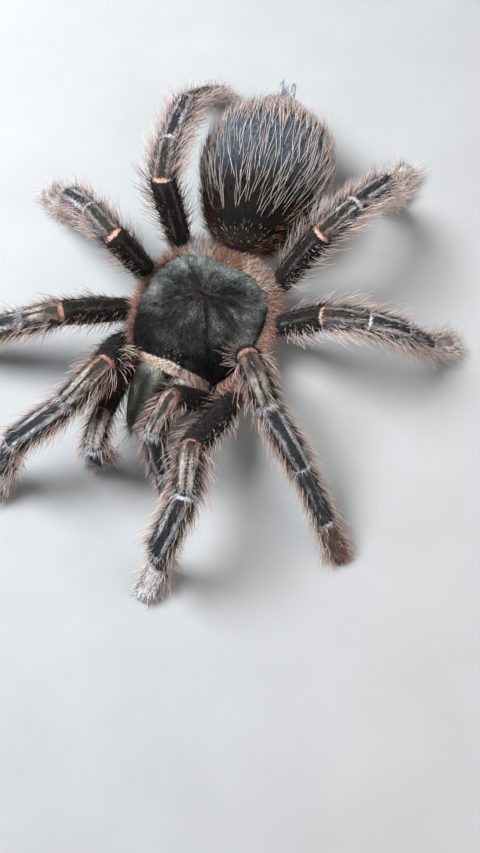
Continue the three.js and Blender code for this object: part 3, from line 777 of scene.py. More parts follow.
def shield_tint(x, y, patches=0):
    """Greenish black, paler at the rear and side rims, with a pale band along the front edge. Painted
    light makes the right side's rims paler than the left's; painted shade darkens the head's flanks,
    the grooves and the middle pit, which is partly dark red of its own.
    """
    across = np.abs(x) / np.maximum(shield_half_width(y), 0.1)
    radius = np.hypot(x, y - FOVEA_Y)
    rim = smooth(across, 0.42, 0.95) * smooth(y, -7, 0) + smooth(y, 5, 10)
    # painted light: the rims are paler on the animal's right, where the light falls, than on its left
    rim = rim * (1 - 0.35 * smooth(x, 0, 8))
    mossy = np.clip(0.04 + 0.8 * rim + patches, 0, 1) * (1 - 0.75 * smooth(-y, 1.5, 7))
    colour = mix(SOOT, MOSS, mossy)
    # painted shade: the steep flanks of the head are darkened where shade falls on them
    flank = smooth(np.abs(x), 3.2, 5.5) * band(y, -11, -5.2, 0.8)
    colour = mix(colour, BLACK, 0.85 * flank)
    # painted shade: darker round the middle pit, where shade falls in the hollow
    colour = mix(colour, BLACK, 0.3 * (1 - smooth(radius, 0.5, 3)))
    pit = 1 - smooth(np.hypot(x / 1.75, (y - FOVEA_Y) / 0.5), 0.7, 1)
    # painted shade in the grooves, then the pit's colour, partly its own dark red and partly painted
    # shade
    colour = mix(colour, BLACK, 0.8 * np.minimum(grooves(x, y) / GROOVE_DEPTH, 1))
    colour = mix(colour, PIT, pit)
    return mix(colour, band_tint(x), front_band(x, y))


def front_band(x, y):
    return (1 - smooth(y - SHIELD_FRONT_Y, 1.2, 1.45)) * (1 - smooth(x, 6.5, 8.5))


def band_tint(x):
    colour = mix(RUST, CREAM, smooth(x, -7.6, -4.8))
    colour = mix(colour, SALMON, 0.5 * smooth(x, 0, 2.5))
    # the mauve at the animal's left end is partly the band's own colour and partly painted shade on
    # the side away from the light
    return mix(colour, MAUVE, smooth(x, 3.2, 6.5))


def make_shield():
    rows = SHIELD_MIDDLE_Y - 12.25 * np.cos(np.linspace(0.06, np.pi - 0.06, 110))
    rows = np.clip(rows, SHIELD_FRONT_Y, SHIELD_REAR_Y - 0.1)
    part = np.cos(np.linspace(0, np.pi, 96))
    half = (shield_half_width(rows) - 0.25)[:, None]
    x = -half * part
    y = np.broadcast_to(rows[:, None], x.shape)
    top = np.stack([x, y, RIM_HEIGHT - SHIELD_INSET + shield_height(x, y)], -1)
    low_part = np.array([0.97, 0.8, 0.4, 0, -0.4, -0.8, -0.97])
    low_x = half * low_part
    low_y = np.broadcast_to(rows[:, None], low_x.shape)
    low = np.stack([low_x, low_y, np.full(low_x.shape, RIM_HEIGHT - RIM_THICKNESS)], -1)
    rings = np.concatenate([top, low], 1)[:, ::-1]
    middle = RIM_HEIGHT - RIM_THICKNESS / 2 - SHIELD_INSET
    points, polygons = loft(rings, (0, SHIELD_FRONT_Y - 0.2, middle), (0, SHIELD_REAR_Y - 0.4, middle))
    tints = shield_tint(points[:, 0], points[:, 1])
    make_piece("carapace_shell", points, polygons, SHELL, "shell", ("carapace",), tints)


def make_eyes():
    for kind, (x, y, radius) in EYES.items():
        for side_name, sign in SIDES:
            at_x, at_y = np.array(sign * x), np.array(MOUND["y"] + y)
            height = RIM_HEIGHT + shield_height(at_x, at_y) - EYE_SUNK * radius
            centre = np.array([at_x, at_y, height])
            turn = np.linspace(0, np.pi, 18)[1:-1]
            angle = ring_angles(24)
            flat = np.sin(turn)[:, None] * radius
            rings = np.stack([
                centre[0] + flat * np.cos(angle),
                centre[1] + flat * np.sin(angle),
                centre[2] - np.cos(turn)[:, None] * radius + 0 * flat * angle,
            ], -1)
            poles = centre - (0, 0, radius), centre + (0, 0, radius)
            points, polygons = loft(rings, *poles)
            name = f"{kind}_{side_name}"
            make_piece(f"eyeball_{name}", points, polygons, EYE, "eyes", (f"eye_{name}",), EYE_BLACK)


# ------------------------------------------------------------------ jaws, fangs and claws
def jaw_mesh(sign):
    start = (sign * JAW_ROOT[0], JAW_ROOT[1], JAW_ROOT[2])
    end = (sign * JAW_TIP[0], JAW_TIP[1], JAW_TIP[2])
    points, polygons = rounded_bar(start, end, JAW_WIDTHS, JAW_HEIGHTS, 40, 44)
    points[:, 0] = sign * np.maximum(sign * points[:, 0], 0.2)
    return points, polygons


def jaw_tint(points):
    """Pale olive flanks with a dark slate stripe along the top. The olive is partly the jaw's own
    colour and partly painted light on the upper outer side, where the light falls; below and on the
    inner side between the jaws it goes dark as painted shade.
    """
    part = (points[:, 1] - JAW_ROOT[1]) / (JAW_TIP[1] - JAW_ROOT[1])
    off = np.abs(points[:, 0]) - (JAW_ROOT[0] + (JAW_TIP[0] - JAW_ROOT[0]) * part)
    # painted light and shade: olive where the light falls on the upper outer side, darker below and on
    # the inner side between the jaws
    lit = smooth(points[:, 2], 2, 5.5) * (0.25 + 0.75 * smooth(off, -2.6, -1.2))
    colour = mix(SOOT, JAW_OLIVE, lit)
    return mix(colour, JAW_SLATE, 0.85 * np.exp(-((off / 0.85) ** 2)) * smooth(part, 0.1, 0.25))


def horn(path, radii, sides=16):
    """Tapering curved horn along a row of points."""
    path = np.asarray(path, float)
    runs = unit(np.gradient(path, axis=0))
    side = unit(np.cross(runs, (0.2, 0.1, 1.0)))
    up = np.cross(side, runs)
    angle = ring_angles(sides)[None, :, None]
    spokes = np.cos(angle) * side[:, None] + np.sin(angle) * up[:, None]
    rings = path[:, None] + np.asarray(radii)[:, None, None] * spokes
    return loft(rings, path[0] - runs[0] * radii[0] * 0.5, path[-1] + runs[-1] * radii[-1] * 0.7)


def bezier(start, control, end, count):
    t = np.linspace(0, 1, count)[:, None]
    start, control, end = (np.array(point) for point in (start, control, end))
    return (1 - t) ** 2 * start + 2 * t * (1 - t) * control + t**2 * end


def make_jaws():
    for side_name, sign in SIDES:
        points, polygons = jaw_mesh(sign)
        node = f"chelicera_{side_name}"
        make_piece(f"jaw_{side_name}", points, polygons, SHELL, "shell", (node,), jaw_tint(points))
        root = np.array([sign * (JAW_TIP[0] + 0.1), JAW_TIP[1] - 0.6, JAW_TIP[2] - 2.9])
        control = (root[0], root[1] + 1.2, 1.3)
        end = (root[0] + sign * 0.5, root[1] + 7, 2.1)
        path = bezier(root + (0, 0, 0.8), control, end, 22)
        radii = np.linspace(0.95, 0.12, 22)
        points, polygons = horn(path, radii)
        node = f"fang_{side_name}"
        make_piece(f"fang_horn_{side_name}", points, polygons, CLAW, "fangs", (node,), FANG_BROWN)


def make_claws(limbs):
    """A pair of small curved claws at each leg's toe, and a single one at each palp's."""
    shapes = []
    for limb in limbs:
        run, side = limb.run[-1], limb.side[-1]
        toe = limb.joints[-1] + run * 0.8
        for sign in (0,) if limb.is_palp else (-1, 1):
            start = toe + side * 0.38 * sign + (0, 0, -0.1)
            control = start + run * CLAW_LENGTH * 0.75 + (0, 0, 0.35)
            end = start + run * CLAW_LENGTH + side * 0.15 * sign + (0, 0, -0.65)
            end[2] = max(end[2], 0.12)
            path = bezier(start, control, end, 10)
            shapes.append(horn(path, np.linspace(0.17, 0.04, 10), 10))
    make_piece("claws", *merged(shapes), CLAW, "fangs", (), CLAW_BLACK)


# ------------------------------------------------------------------ hind body
YAW = math.radians(ABDOMEN_YAW)
REARWARD = np.array([-math.sin(YAW), math.cos(YAW), 0])
ACROSS = np.array([math.cos(YAW), math.sin(YAW), 0])


def abdomen_surface(part, turn):
    """Point of the bare abdomen: `part` runs from -1 in front to 1 behind, `turn` from its top."""
    middle = np.array(ABDOMEN_CENTRE) + part[..., None] * ABDOMEN_FLESH["half_length"] * REARWARD
    middle = middle + smooth(-part, 0.35, 1)[..., None] * np.array([-1.6, 0, -2.2])
    full = np.sqrt(np.maximum(1 - part**2, 0)) * (1 + 0.06 * part - 0.3 * smooth(part, 0.5, 1))
    wide = (ABDOMEN_FLESH["half_width"] * full * np.sin(turn))[..., None] * ACROSS
    high = (ABDOMEN_FLESH["half_height"] * full * np.cos(turn))[..., None] * np.array([0, 0, 1.0])
    return middle + wide + high


def abdomen_mesh():
    part = -np.cos(np.linspace(0, np.pi, 62)[1:-1])[:, None]
    turn = ring_angles(64)[None]
    part, turn = np.broadcast_arrays(part, turn)
    rings = abdomen_surface(part, turn)
    poles = abdomen_surface(np.array([-1.0, 1.0]), np.zeros(2))
    points, polygons = loft(rings, poles[0], poles[1])
    tints = abdomen_tint(np.append(part.ravel(), [-1, 1]), np.append(turn.ravel(), [0, 0]))
    return points, polygons, tints


def abdomen_tint(part, turn):
    """Black velvet in front, slate blue above, brown below and pinkish brown at the very rear. The
    slate blue is partly the velvet's own blue-black and partly a painted sheen of the cool light.
    """
    # painted sheen: the slate blue behind the black front is partly the velvet's own blue-black and
    # partly a painted sheen of the cool light
    colour = mix(BLACK, SLATE, 0.85 * smooth(part, -0.5, 0.2))
    colour = mix(colour, OLIVE, 0.8 * (1 - smooth(part, -0.97, -0.8)))
    colour = mix(colour, BROWN, 0.8 * (1 - smooth(np.cos(turn), -0.4, 0.25)))
    return mix(colour, mix(BROWN, PEACH, 0.45), 0.75 * smooth(part, 0.72, 0.93))


def abdomen_roots(count, rng, low=-0.97, high=0.985):
    """Roots on the abdomen, lying rearward."""
    part = rng.uniform(low, high, count)
    turn = rng.uniform(-np.pi, np.pi, count)
    point = abdomen_surface(part, turn)
    ahead = abdomen_surface(np.minimum(part + 0.01, 0.999), turn)
    beside = abdomen_surface(part, turn + 0.01)
    lie = unit(ahead - point)
    normal = unit(np.cross(beside - point, lie))
    inward = (normal * (point - np.array(ABDOMEN_CENTRE))).sum(-1) < 0
    normal[inward] *= -1
    chart = np.stack([(part + 1) / 2, wrapped(turn)], -1)
    return Roots(point, normal, lie, chart, s=part, turn=turn)


def spinneret_axis(sign):
    """Start and direction of one spinneret, or of the line between the two with sign 0."""
    splay = YAW - math.radians(sign * SPINNERET["splay"])
    rise = math.radians(SPINNERET["rise"])
    start = np.array([*ABDOMEN_CENTRE[:2], SPINNERET["height"]])
    start = start + REARWARD * SPINNERET["root"] + ACROSS * sign * SPINNERET["spread"] / 2
    level = math.cos(rise)
    return start, np.array([-math.sin(splay) * level, math.cos(splay) * level, math.sin(rise)])


def spinneret_mesh(sign):
    start, run = spinneret_axis(sign)
    return rounded_bar(start, start + run * SPINNERET["length"], SPINNERET_RADII, None, 16, 20)


def sternum_mesh():
    part = -np.cos(np.linspace(0, np.pi, 30)[1:-1])
    angle = ring_angles(36)[None]
    wide = STERNUM["half_width"] * np.sqrt(1 - part**2)[:, None] ** 0.7
    high = STERNUM["half_height"] * np.sin(angle) * (1 - part[:, None] ** 6)
    y, z = STERNUM["y"], STERNUM["z"]
    rings = np.stack([
        wide * np.cos(angle),
        y + (part * STERNUM["half_length"])[:, None] + 0 * angle,
        z + high,
    ], -1)[:, ::-1]
    return loft(rings, (0, y - 8.2, z), (0, y + 8.2, z))


# ------------------------------------------------------------------ the skin
def plain_flesh():
    """Shapes of one colour each: sternum, stalk and spinnerets."""
    shapes = [(sternum_mesh(), BROWN), (rounded_bar(*STALK, STALK_RADII), BROWN)]
    shapes += [(spinneret_mesh(sign), mix(SLATE, PALE_BLUE, 0.45)) for _, sign in SIDES]
    return [(*shape, np.tile(tint, (len(shape[0]), 1))) for shape, tint in shapes]


def make_skin(limbs):
    """All flesh joined and remeshed as one closed skin, smoothed, with its marks on it."""
    shapes = [limb.mesh() for limb in limbs] + [abdomen_mesh()] + plain_flesh()
    points, polygons = merged([shape[:2] for shape in shapes])
    tints = np.concatenate([shape[2] for shape in shapes])
    nodes = ["sternum", "pedicel", "abdomen", "spinneret_right", "spinneret_left"]
    for limb in limbs:
        last = "tarsus" if limb.is_palp else "foot"
        nodes += [f"{limb.name}_{kind}" for kind in ("femur", "patella", "tibia", last)]
    skin = make_piece("skin", points, polygons, SKIN, "body_coat", nodes, tints)
    remesh(skin, SKIN_VOXEL / 1000)


def remesh(piece, voxel):
    mesh = piece.data
    mesh.remesh_voxel_size = voxel
    mesh.remesh_voxel_adaptivity = 0
    mesh.use_remesh_preserve_attributes = True
    with bpy.context.temp_override(object=piece, active_object=piece, selected_objects=[piece]):
        bpy.ops.object.voxel_remesh()
    piece.data.shade_smooth()
    smoother = piece.modifiers.new("smooth", "SMOOTH")
    smoother.iterations = 3
    smoother.factor = 0.5


# ------------------------------------------------------------------ coats of the limbs
# How many hairs of each sort grow on a limb that is LIMB_MEASURE long.
LIMB_HAIRS = dict(short=4300, guard=900, marked=520, fuzz=1050, seta=430)
LIMB_MEASURE = 75
RING_HAIRS = 150
FULLNESS = {0: 0.6, 1: 0.95, 2: 1.0, 3: 1.35, 4: 1.5}  # of the long side hairs, by leg
HALO_LENGTH = {3: 1.3, 4: 1.6}  # of the downy hairs on the rear legs, against the others


def sideways(roots):
    """Share of a hair's full length: hairs on the upper side are short, and full at the sides."""
    out = np.abs(np.sin(roots.turn)) - 0.6 * np.maximum(np.cos(roots.turn), 0)
    return 0.36 + 0.64 * smooth(out, 0.1, 0.8)


def near_joints(limb, s):
    """Share of the full length of the short hairs: they are cropped right beside each joint."""
    gap = np.abs(s[:, None] - limb.marks[None]).min(1)
    return 0.45 + 0.55 * smooth(gap, 0.3, 1.6)


def hair_count(limb, sort, fullness=1):
    return int(LIMB_HAIRS[sort] * (limb.length / LIMB_MEASURE) * fullness)


def side_roots(coat, limb, count, low, high, middle, spread):
    """Roots at distances `low` to `high`, gathered round the angle `middle` on both sides."""
    s = coat.rng.uniform(low, high, count)
    sign = coat.rng.choice([-1, 1], count)
    return limb.roots(s, sign * coat.rng.normal(middle, spread, count))


def add_short_hairs(coat, limb):
    s = coat.rng.uniform(0.5, limb.length - 0.1, hair_count(limb, "short"))
    roots = limb.roots(s, coat.any_turn(len(s)))
    tint = limb_tint(limb, roots.s, roots.turn)
    coat.comb(roots, SHORT, tint * 0.8, tint * 1.3, (0.65, 1.35), near_joints(limb, roots.s))


def add_guard_hairs(coat, limb):
    """Brown to cream hairs at the sides, then finer ones over the top that carry the marks."""
    end = limb.length - 0.6
    roots = side_roots(coat, limb, hair_count(limb, "guard"), 2, end, 1.45, 0.5)
    pale = coat.shares(roots) ** 1.5
    far = smooth(roots.s, limb.marks[2], limb.marks[3])
    tips = mix(BROWN, mix(CREAM, HALO, far * limb.rear), (0.7 + 0.3 * far * limb.rear) * pale)
    coat.comb(roots, GUARD, mix(BLACK, BROWN, pale), tips, scale=sideways(roots))
    roots = side_roots(coat, limb, hair_count(limb, "marked"), 2, end, 0.85, 0.4)
    tint = limb_tint(limb, roots.s, roots.turn)
    tips = mix(tint * 1.5, mix(BROWN, CREAM, coat.shares(roots)), 0.5)
    coat.comb(roots, GUARD.grown(0.8), tint, tips, (0.6, 1.3))


def add_fuzz(coat, limb):
    """Downy hairs from the patella outward: long and pale on the rear legs."""
    rear = limb.rear
    count = hair_count(limb, "fuzz", FULLNESS[limb.number])
    low, high = limb.marks[2] + 0.5, limb.length - 0.3
    roots = side_roots(coat, limb, count, low, high, 1.5 if rear else 1.75, 0.6 if rear else 0.45)
    far = smooth(roots.s, limb.marks[3], limb.marks[-1])
    cool = HALO if rear else CREAM if limb.number == 2 else FROST
    tone = mix(ROSE, cool, np.maximum(far, 0.55 * rear) * coat.shares(roots, 0.5))
    form = FUZZ.grown(HALO_LENGTH.get(limb.number, 1))
    reach = np.maximum(sideways(roots), 0.7 * rear * far)
    dark = mix(SOOT, tone, 0.75 if rear else 0.5)
    coat.comb(roots, form, dark, tone * (1.3 if rear else 1.15), scale=reach)


def add_bristles(coat, limb):
    """The longest hairs, standing out at both sides."""
    fullness = FULLNESS[limb.number]
    low, high = limb.marks[1] + 3, limb.length - 3
    roots = side_roots(coat, limb, hair_count(limb, "seta", fullness), low, high, 1.5, 0.42)
    tone = mix(ROSE, HALO if limb.rear else CREAM, coat.shares(roots))
    form = SETA.grown(0.75 + 0.25 * fullness)
    coat.comb(roots, form, mix(SOOT, tone, 0.5), tone * 1.1, scale=sideways(roots))


def add_joint_ring(coat, limb, mark, kind):
    """Close short hairs on the ring at a joint, and a pale tuft just before the far joints."""
    turn = coat.rng.normal(0, 0.95, RING_HAIRS)
    low, high = RING_PLACES[kind]
    roots = limb.roots(mark + coat.rng.uniform(low, high, len(turn)), turn)
    tint = limb_tint(limb, np.full(len(roots), mark + (low + high) / 2), roots.turn)
    coat.comb(roots, VELVET.grown(0.45), tint, tint, (0.8, 1.15))
    if kind != "patella":
        turn = coat.rng.normal(0, 1.15, 110 if kind == "tibia" and not limb.rear else 45)
        roots = limb.roots(mark + coat.rng.uniform(-0.9, 0.2, len(turn)), turn)
        form = TUFT.grown(0.65 if limb.rear else 1)
        coat.comb(roots, form, mix(SOOT, LILAC, 0.7), FROST, (0.45, 0.95))


def make_limb_coat(limb, seed):
    coat = Coat(seed)
    add_short_hairs(coat, limb)
    add_guard_hairs(coat, limb)
    add_fuzz(coat, limb)
    add_bristles(coat, limb)
    for mark, kind in zip(limb.marks[2:-1], limb.kinds[2:]):
        add_joint_ring(coat, limb, mark, kind)
    coat.finish(f"coat_{limb.name}", HAIR, "body_coat")


# ------------------------------------------------------------------ coats of the abdomen
def make_abdomen_coat(seed):
    """Velvet all over, a brown ruff in front, long pale hairs above, and golden flecks."""
    coat = Coat(seed)
    roots = abdomen_roots(6600, coat.rng)
    patches = 1 + 0.4 * cloud(roots.s * 9 + 20, roots.turn * 6 + 20, 41)[:, None]
    tint = abdomen_tint(roots.s, roots.turn) * patches
    coat.comb(roots, VELVET.grown(1.25), tint * 0.7, tint * 1.7, (0.5, 1.5))
    roots = abdomen_roots(1700, coat.rng, -0.985, -0.45)
    keep = (np.abs(roots.turn) > 0.75) | (roots.s < -0.93)
    brown = mix(BROWN, RUST, coat.shares(roots) ** 2)
    coat.comb(roots.only(keep), RUFF, mix(BLACK, brown, 0.4)[keep], brown[keep], (0.4, 1.4))
    roots = abdomen_roots(820, coat.rng, -0.74, 0.8)
    keep = np.cos(roots.turn) > -0.2
    golden = mix(CREAM, GOLD, 0.6 * (1 - smooth(roots.s, -0.7, -0.2)))
    tone = mix(golden, FROST, smooth(roots.s, -0.6, 0.1) * coat.shares(roots, 0.3))
    tips = mix(tone, FROST, 0.55)
    coat.comb(roots.only(keep), LONG_HAIR, (golden * 0.7)[keep], tips[keep], (0.55, 1.2))
    roots = abdomen_roots(1500, coat.rng, -0.985, -0.8)
    keep = coat.shares(roots) < 0.16
    coat.comb(roots.only(keep), FLECK, GOLD, mix(GOLD, CREAM, 0.5), (0.4, 1.0))
    coat.finish("coat_abdomen", ABDOMEN_HAIR, "abdomen_coat")


def spinneret_roots(count, rng, sign):
    """Roots all along one spinneret, lying towards its tip and a little towards the other."""
    start, run = spinneret_axis(sign)
    t, turn = rng.uniform(0.45, 1, count), rng.uniform(-np.pi, np.pi, count)
    normal = around(run, turn)
    point = start + t[:, None] * run * SPINNERET["length"] + (0.7 - 0.3 * t)[:, None] * normal
    lie = np.tile(unit(run - 0.25 * sign * ACROSS), (count, 1))
    chart = np.stack([0.9 + 0.08 * t, wrapped(turn)], -1)
    return Roots(point, normal, lie, chart, s=t, turn=turn)


def make_rump_coat(seed):
    """Dense pink and cream fringe low on the sides and round the rear, and the spinneret tuft."""
    coat = Coat(seed)
    roots = abdomen_roots(8200, coat.rng, -0.35)
    low_side = smooth(np.abs(roots.turn), 0.85, 1.35) + 1.6 * smooth(roots.s, 0.3, 0.6)
    keep = coat.shares(roots) < 0.6 * np.minimum(low_side, 1.4)
    keep &= np.abs(roots.turn) < 2.7
    tone = mix(PEACH, HALO, coat.shares(roots))
    tone = mix(tone, BROWN, 0.5 * coat.shares(roots) ** 2)
    dark = mix(BLACK, tone, 0.75)
    coat.comb(roots.only(keep), RUMP_FRINGE, dark[keep], tone[keep] * 1.1, (0.6, 1.3))
    roots = abdomen_roots(420, coat.rng, 0.93, 0.995)
    roots = roots.only(np.abs((roots.point - ABDOMEN_CENTRE) @ ACROSS) < 0.75)
    roots.lie[:] = spinneret_axis(0)[1]
    coat.comb(roots, MIDDLE_TUFT, mix(SLATE, PALE_BLUE, 0.5), PALE_BLUE, (0.7, 1.1))
    for _, sign in SIDES:
        roots = spinneret_roots(210, coat.rng, sign)
        coat.comb(roots, SPINNERET_NAP, SLATE, PALE_BLUE, (0.6, 1.05))
    coat.finish("coat_rump", ABDOMEN_HAIR, "abdomen_coat")


# ------------------------------------------------------------------ coats of the front body
WHITE_TUFT = (-7.4, -5.6)  # where the whitest hairs stand on the rear edge, by x


def shield_chart(x, y):
    """Places on the unwrap of the shield: its ground plan, shrunk to fit."""
    return np.stack([0.5 + x / 26, 0.5 + (y - SHIELD_MIDDLE_Y) / 26], -1)


def shield_roots(x, y):
    """Roots on top of the shield, lying away from its middle pit."""
    half = np.maximum(shield_half_width(y) - 0.25, 0.1)
    keep = np.abs(x) < half * 0.995
    x, y = x[keep], y[keep]
    height = shield_height(x, y)
    step = 0.05
    slope_x = (shield_height(x + step, y) - shield_height(x - step, y)) / (2 * step)
    slope_y = (shield_height(x, y + step) - shield_height(x, y - step)) / (2 * step)
    normal = unit(np.stack([-slope_x, -slope_y, np.ones(len(x))], -1))
    point = np.stack([x, y, RIM_HEIGHT - SHIELD_INSET + height], -1)
    radial = np.stack([x, (y - FOVEA_Y), np.zeros(len(x))], -1) + 1e-3
    return Roots(point, normal, flattened(radial, normal), shield_chart(x, y), s=x, turn=y)


def rim_roots(count, rng):
    """Roots along the rim of the shield, lying outward."""
    y = SHIELD_MIDDLE_Y + 12.2 * rng.uniform(-0.8, 0.97, count)
    sign = rng.choice([-1, 1], count)
    half = shield_half_width(y) - 0.35
    x = sign * half
    slope = (shield_half_width(y + 0.05) - shield_half_width(y - 0.05)) / 0.1
    outward = unit(np.stack([sign, -slope, np.zeros(count)], -1))
    point = np.stack([x, y, np.full(count, RIM_HEIGHT - 0.45)], -1)
    point[:, 2] += rng.uniform(-0.3, 0.2, count)
    up = np.tile((0, 0, 1.0), (count, 1))
    return Roots(point, up, outward, shield_chart(x, y), s=x, turn=y)


def rear_roots(count, rng):
    """Roots along the rear edge of the shield, lying backward over the stalk."""
    x = rng.uniform(-8.2, 8.2, count)
    rows = np.linspace(SHIELD_WIDEST_Y, SHIELD_REAR_Y, 80)
    y = np.interp(np.abs(x), shield_half_width(rows)[::-1], rows[::-1]) - 0.4
    point = np.stack([x, y, RIM_HEIGHT - 0.35 + rng.uniform(-0.4, 0.15, count)], -1)
    lie = unit(np.stack([0.09 * x, np.ones(count), np.zeros(count)], -1))
    up = np.tile((0, 0, 1.0), (count, 1))
    return Roots(point, up, lie, shield_chart(x, y), s=x, turn=y)


def edge_roots(count, rng):
    """Roots along the front edge of the shield, lying sideways and a little forward."""
    x = rng.uniform(-7.4, 7.4, count)
    y = SHIELD_FRONT_Y + rng.uniform(-0.05, 1.25, count)
    height = RIM_HEIGHT - SHIELD_INSET + shield_height(x, y)
    point = np.stack([x, y, height], -1)
    up = np.tile(unit(np.array((0, -0.55, 0.85))), (count, 1))
    sign = rng.choice([-1, 1], count) * 1.0
    lie = unit(np.stack([sign, np.full(count, -0.5), np.full(count, 0.1)], -1))
    return Roots(point, up, lie, shield_chart(x, y), s=x, turn=y)


def make_shield_coat(seed):
    """Fine flat hairs on the shield in radiating clumps, with none on the eyes or front edge."""
    coat = Coat(seed)
    count = 17000
    x = coat.rng.uniform(-SHIELD_HALF_WIDTH, SHIELD_HALF_WIDTH, count)
    y = coat.rng.uniform(SHIELD_FRONT_Y + 0.1, SHIELD_REAR_Y - 0.6, count)
    keep = y > SHIELD_FRONT_Y + 1.2
    for eye_x, eye_y, radius in EYES.values():
        keep &= np.hypot(np.abs(x) - eye_x, y - MOUND["y"] - eye_y) > radius + 0.15
    roots = shield_roots(x[keep], y[keep])
    reach = np.hypot(roots.s, roots.turn - FOVEA_Y)
    bearing = np.arctan2(roots.s, roots.turn - FOVEA_Y)
    clumps = cloud(reach * 0.45 + 20, bearing * 5 + 20, 31)
    clumps = clumps + 0.6 * cloud(reach * 1.1, bearing * 11 + 30, 32)
    tint = shield_tint(roots.s, roots.turn, 0.45 * clumps)
    tint = tint * (1 + 0.75 * np.clip(clumps, -1, 1))[:, None]
    coat.comb(roots, SHIELD_NAP, tint * 0.5, tint * 2.1, (0.3, 1.7))
    coat.finish("coat_carapace", HAIR, "shell")


def add_front_band(coat):
    roots = edge_roots(2100, coat.rng)
    tint = band_tint(roots.s)
    tint = tint * (0.92 + 0.1 * (1 - smooth(np.abs(roots.s), 1.8, 3)))[:, None]
    coat.comb(roots, BAND_NAP, tint, tint * 1.3, (0.85, 1.2))
    x = coat.rng.uniform(1, 8.5, 45)
    y = coat.rng.uniform(SHIELD_FRONT_Y + 0.3, SHIELD_FRONT_Y + 1.6, len(x))
    roots = shield_roots(x, y)
    coat.comb(roots, BROW_HAIR, SOOT, mix(ROSE, CREAM, coat.shares(roots)))


def add_rim_fringe(coat):
    """Warm ragged hairs round the sides, darker and longer towards the animal's left; the darker rust
    there is partly the hairs' own colour and partly painted shade on the side away from the light.
    """
    roots = rim_roots(2500, coat.rng)
    warm = mix(SALMON, PEACH, coat.shares(roots, 0.2)) * 1.2
    # partly the hairs' own rust colour and partly painted shade on the side away from the light
    rust_and_painted_shade = 0.85 * smooth(roots.s, 2, 8) * coat.shares(roots, 0.2)
    warm = mix(warm, np.array(RUST) * 0.6, rust_and_painted_shade)
    warm = warm * coat.rng.uniform(0.35, 1.3, (len(roots), 1))
    tips = mix(warm, PEACH, coat.rng.uniform(0, 0.8, len(roots))) * 1.2
    reach = 1 + 0.35 * smooth(roots.s, 3, 9)
    coat.comb(roots, RIM_FRINGE, warm * 0.3, tips, (0.35, 1.5), reach)


def add_rear_skirt(coat):
    """Long hairs over the stalk, in patches of rust, pink and cream with one white tuft."""
    roots = rear_roots(1900, coat.rng)
    patches = cloud(roots.s * 0.8 + 20, roots.turn * 0.8 + 20, 51)
    warm = mix(RUST, PEACH, np.clip(0.5 + 0.9 * patches, 0, 1))
    warm = mix(warm, CREAM, smooth(patches, 0.2, 0.7))
    warm = mix(warm, FROST, band(roots.s, *WHITE_TUFT, 0.3))
    tips = mix(warm, CREAM, coat.rng.uniform(0, 0.6, len(roots)))
    coat.comb(roots, SKIRT, warm * 0.6, tips, (0.6, 1.25))


def make_fringe_coat(seed):
    coat = Coat(seed)
    add_front_band(coat)
    add_rim_fringe(coat)
    add_rear_skirt(coat)
    coat.finish("coat_fringe", HAIR, "shell")


class JawFaces:
    """The faces of one jaw, as places for hairs to grow, its inner face left out."""

    def __init__(self, sign):
        points, polygons = jaw_mesh(sign)
        self.corners = points[polygons[0]]
        self.ahead = -self.corners[:, :, 1].mean(1)
        first, second, third, fourth = np.moveaxis(self.corners, 1, 0)
        cross = np.cross(third - first, fourth - second)
        self.normals = unit(cross + 1e-9)
        self.area = np.linalg.norm(cross, axis=-1) * (sign * self.corners[:, :, 0].mean(1) > 0.3)
        across, *rest = np.subtract(JAW_TIP, JAW_ROOT)
        self.run = unit(np.array([sign * across, *rest]))

    def roots(self, rng, count, weight=1.0):
        share = self.area * weight
        face = rng.choice(len(self.corners), count, p=share / share.sum())
        blend = rng.dirichlet(np.ones(4), count)[:, :, None]
        point = (self.corners[face] * blend).sum(1)
        normal = self.normals[face]
        turn = np.arctan2(normal[:, 0], normal[:, 2])
        chart = np.stack([(-10 - point[:, 1]) / 16 % 1, turn / (2 * np.pi) + 0.5], -1)
        return Roots(point, normal, flattened(self.run, normal), chart)


def make_jaw_coat(side_name, sign, seed):
    """Short hairs with the jaw's colours and its painted light and shade, long curled ones in front
    and grey ones at the tip.
    """
    coat = Coat(seed)
    faces = JawFaces(sign)
    roots = faces.roots(coat.rng, 3000)
    tint = jaw_tint(roots.point)
    coat.comb(roots, VELVET.grown(0.8), tint, tint * 1.5)
    roots = faces.roots(coat.rng, 420, smooth(faces.ahead, 15, 22) + 0.15)
    tone = mix(ROSE, CREAM, coat.shares(roots))
    coat.comb(roots, JAW_CURL, mix(SOOT, tone, 0.3), tone)
    roots = faces.roots(coat.rng, 260, smooth(faces.ahead, 19, 23) + 0.02)
    coat.comb(roots, JAW_TIP_HAIR, mix(SOOT, LILAC, 0.5), LILAC)
    coat.finish(f"coat_jaw_{side_name}", HAIR, "shell")


def sternum_roots(count, rng):
    part, angle = rng.uniform(-0.97, 0.97, count), rng.uniform(-np.pi, 0, count)
    wide, high = STERNUM["half_width"], STERNUM["half_height"]
    x = wide * np.sqrt(1 - part**2) ** 0.7 * np.cos(angle)
    y = STERNUM["y"] + STERNUM["half_length"] * part
    point = np.stack([x, y, STERNUM["z"] + high * np.sin(angle)], -1)
    normal = unit(np.stack([np.cos(angle) / wide, 0 * angle, np.sin(angle) / high], -1))
    lie = np.tile((0, 1.0, 0), (count, 1))
    chart = np.stack([0.25 + part / 4.2, 0.5 + angle / (2 * np.pi)], -1)
    return Roots(point, normal, lie, chart)


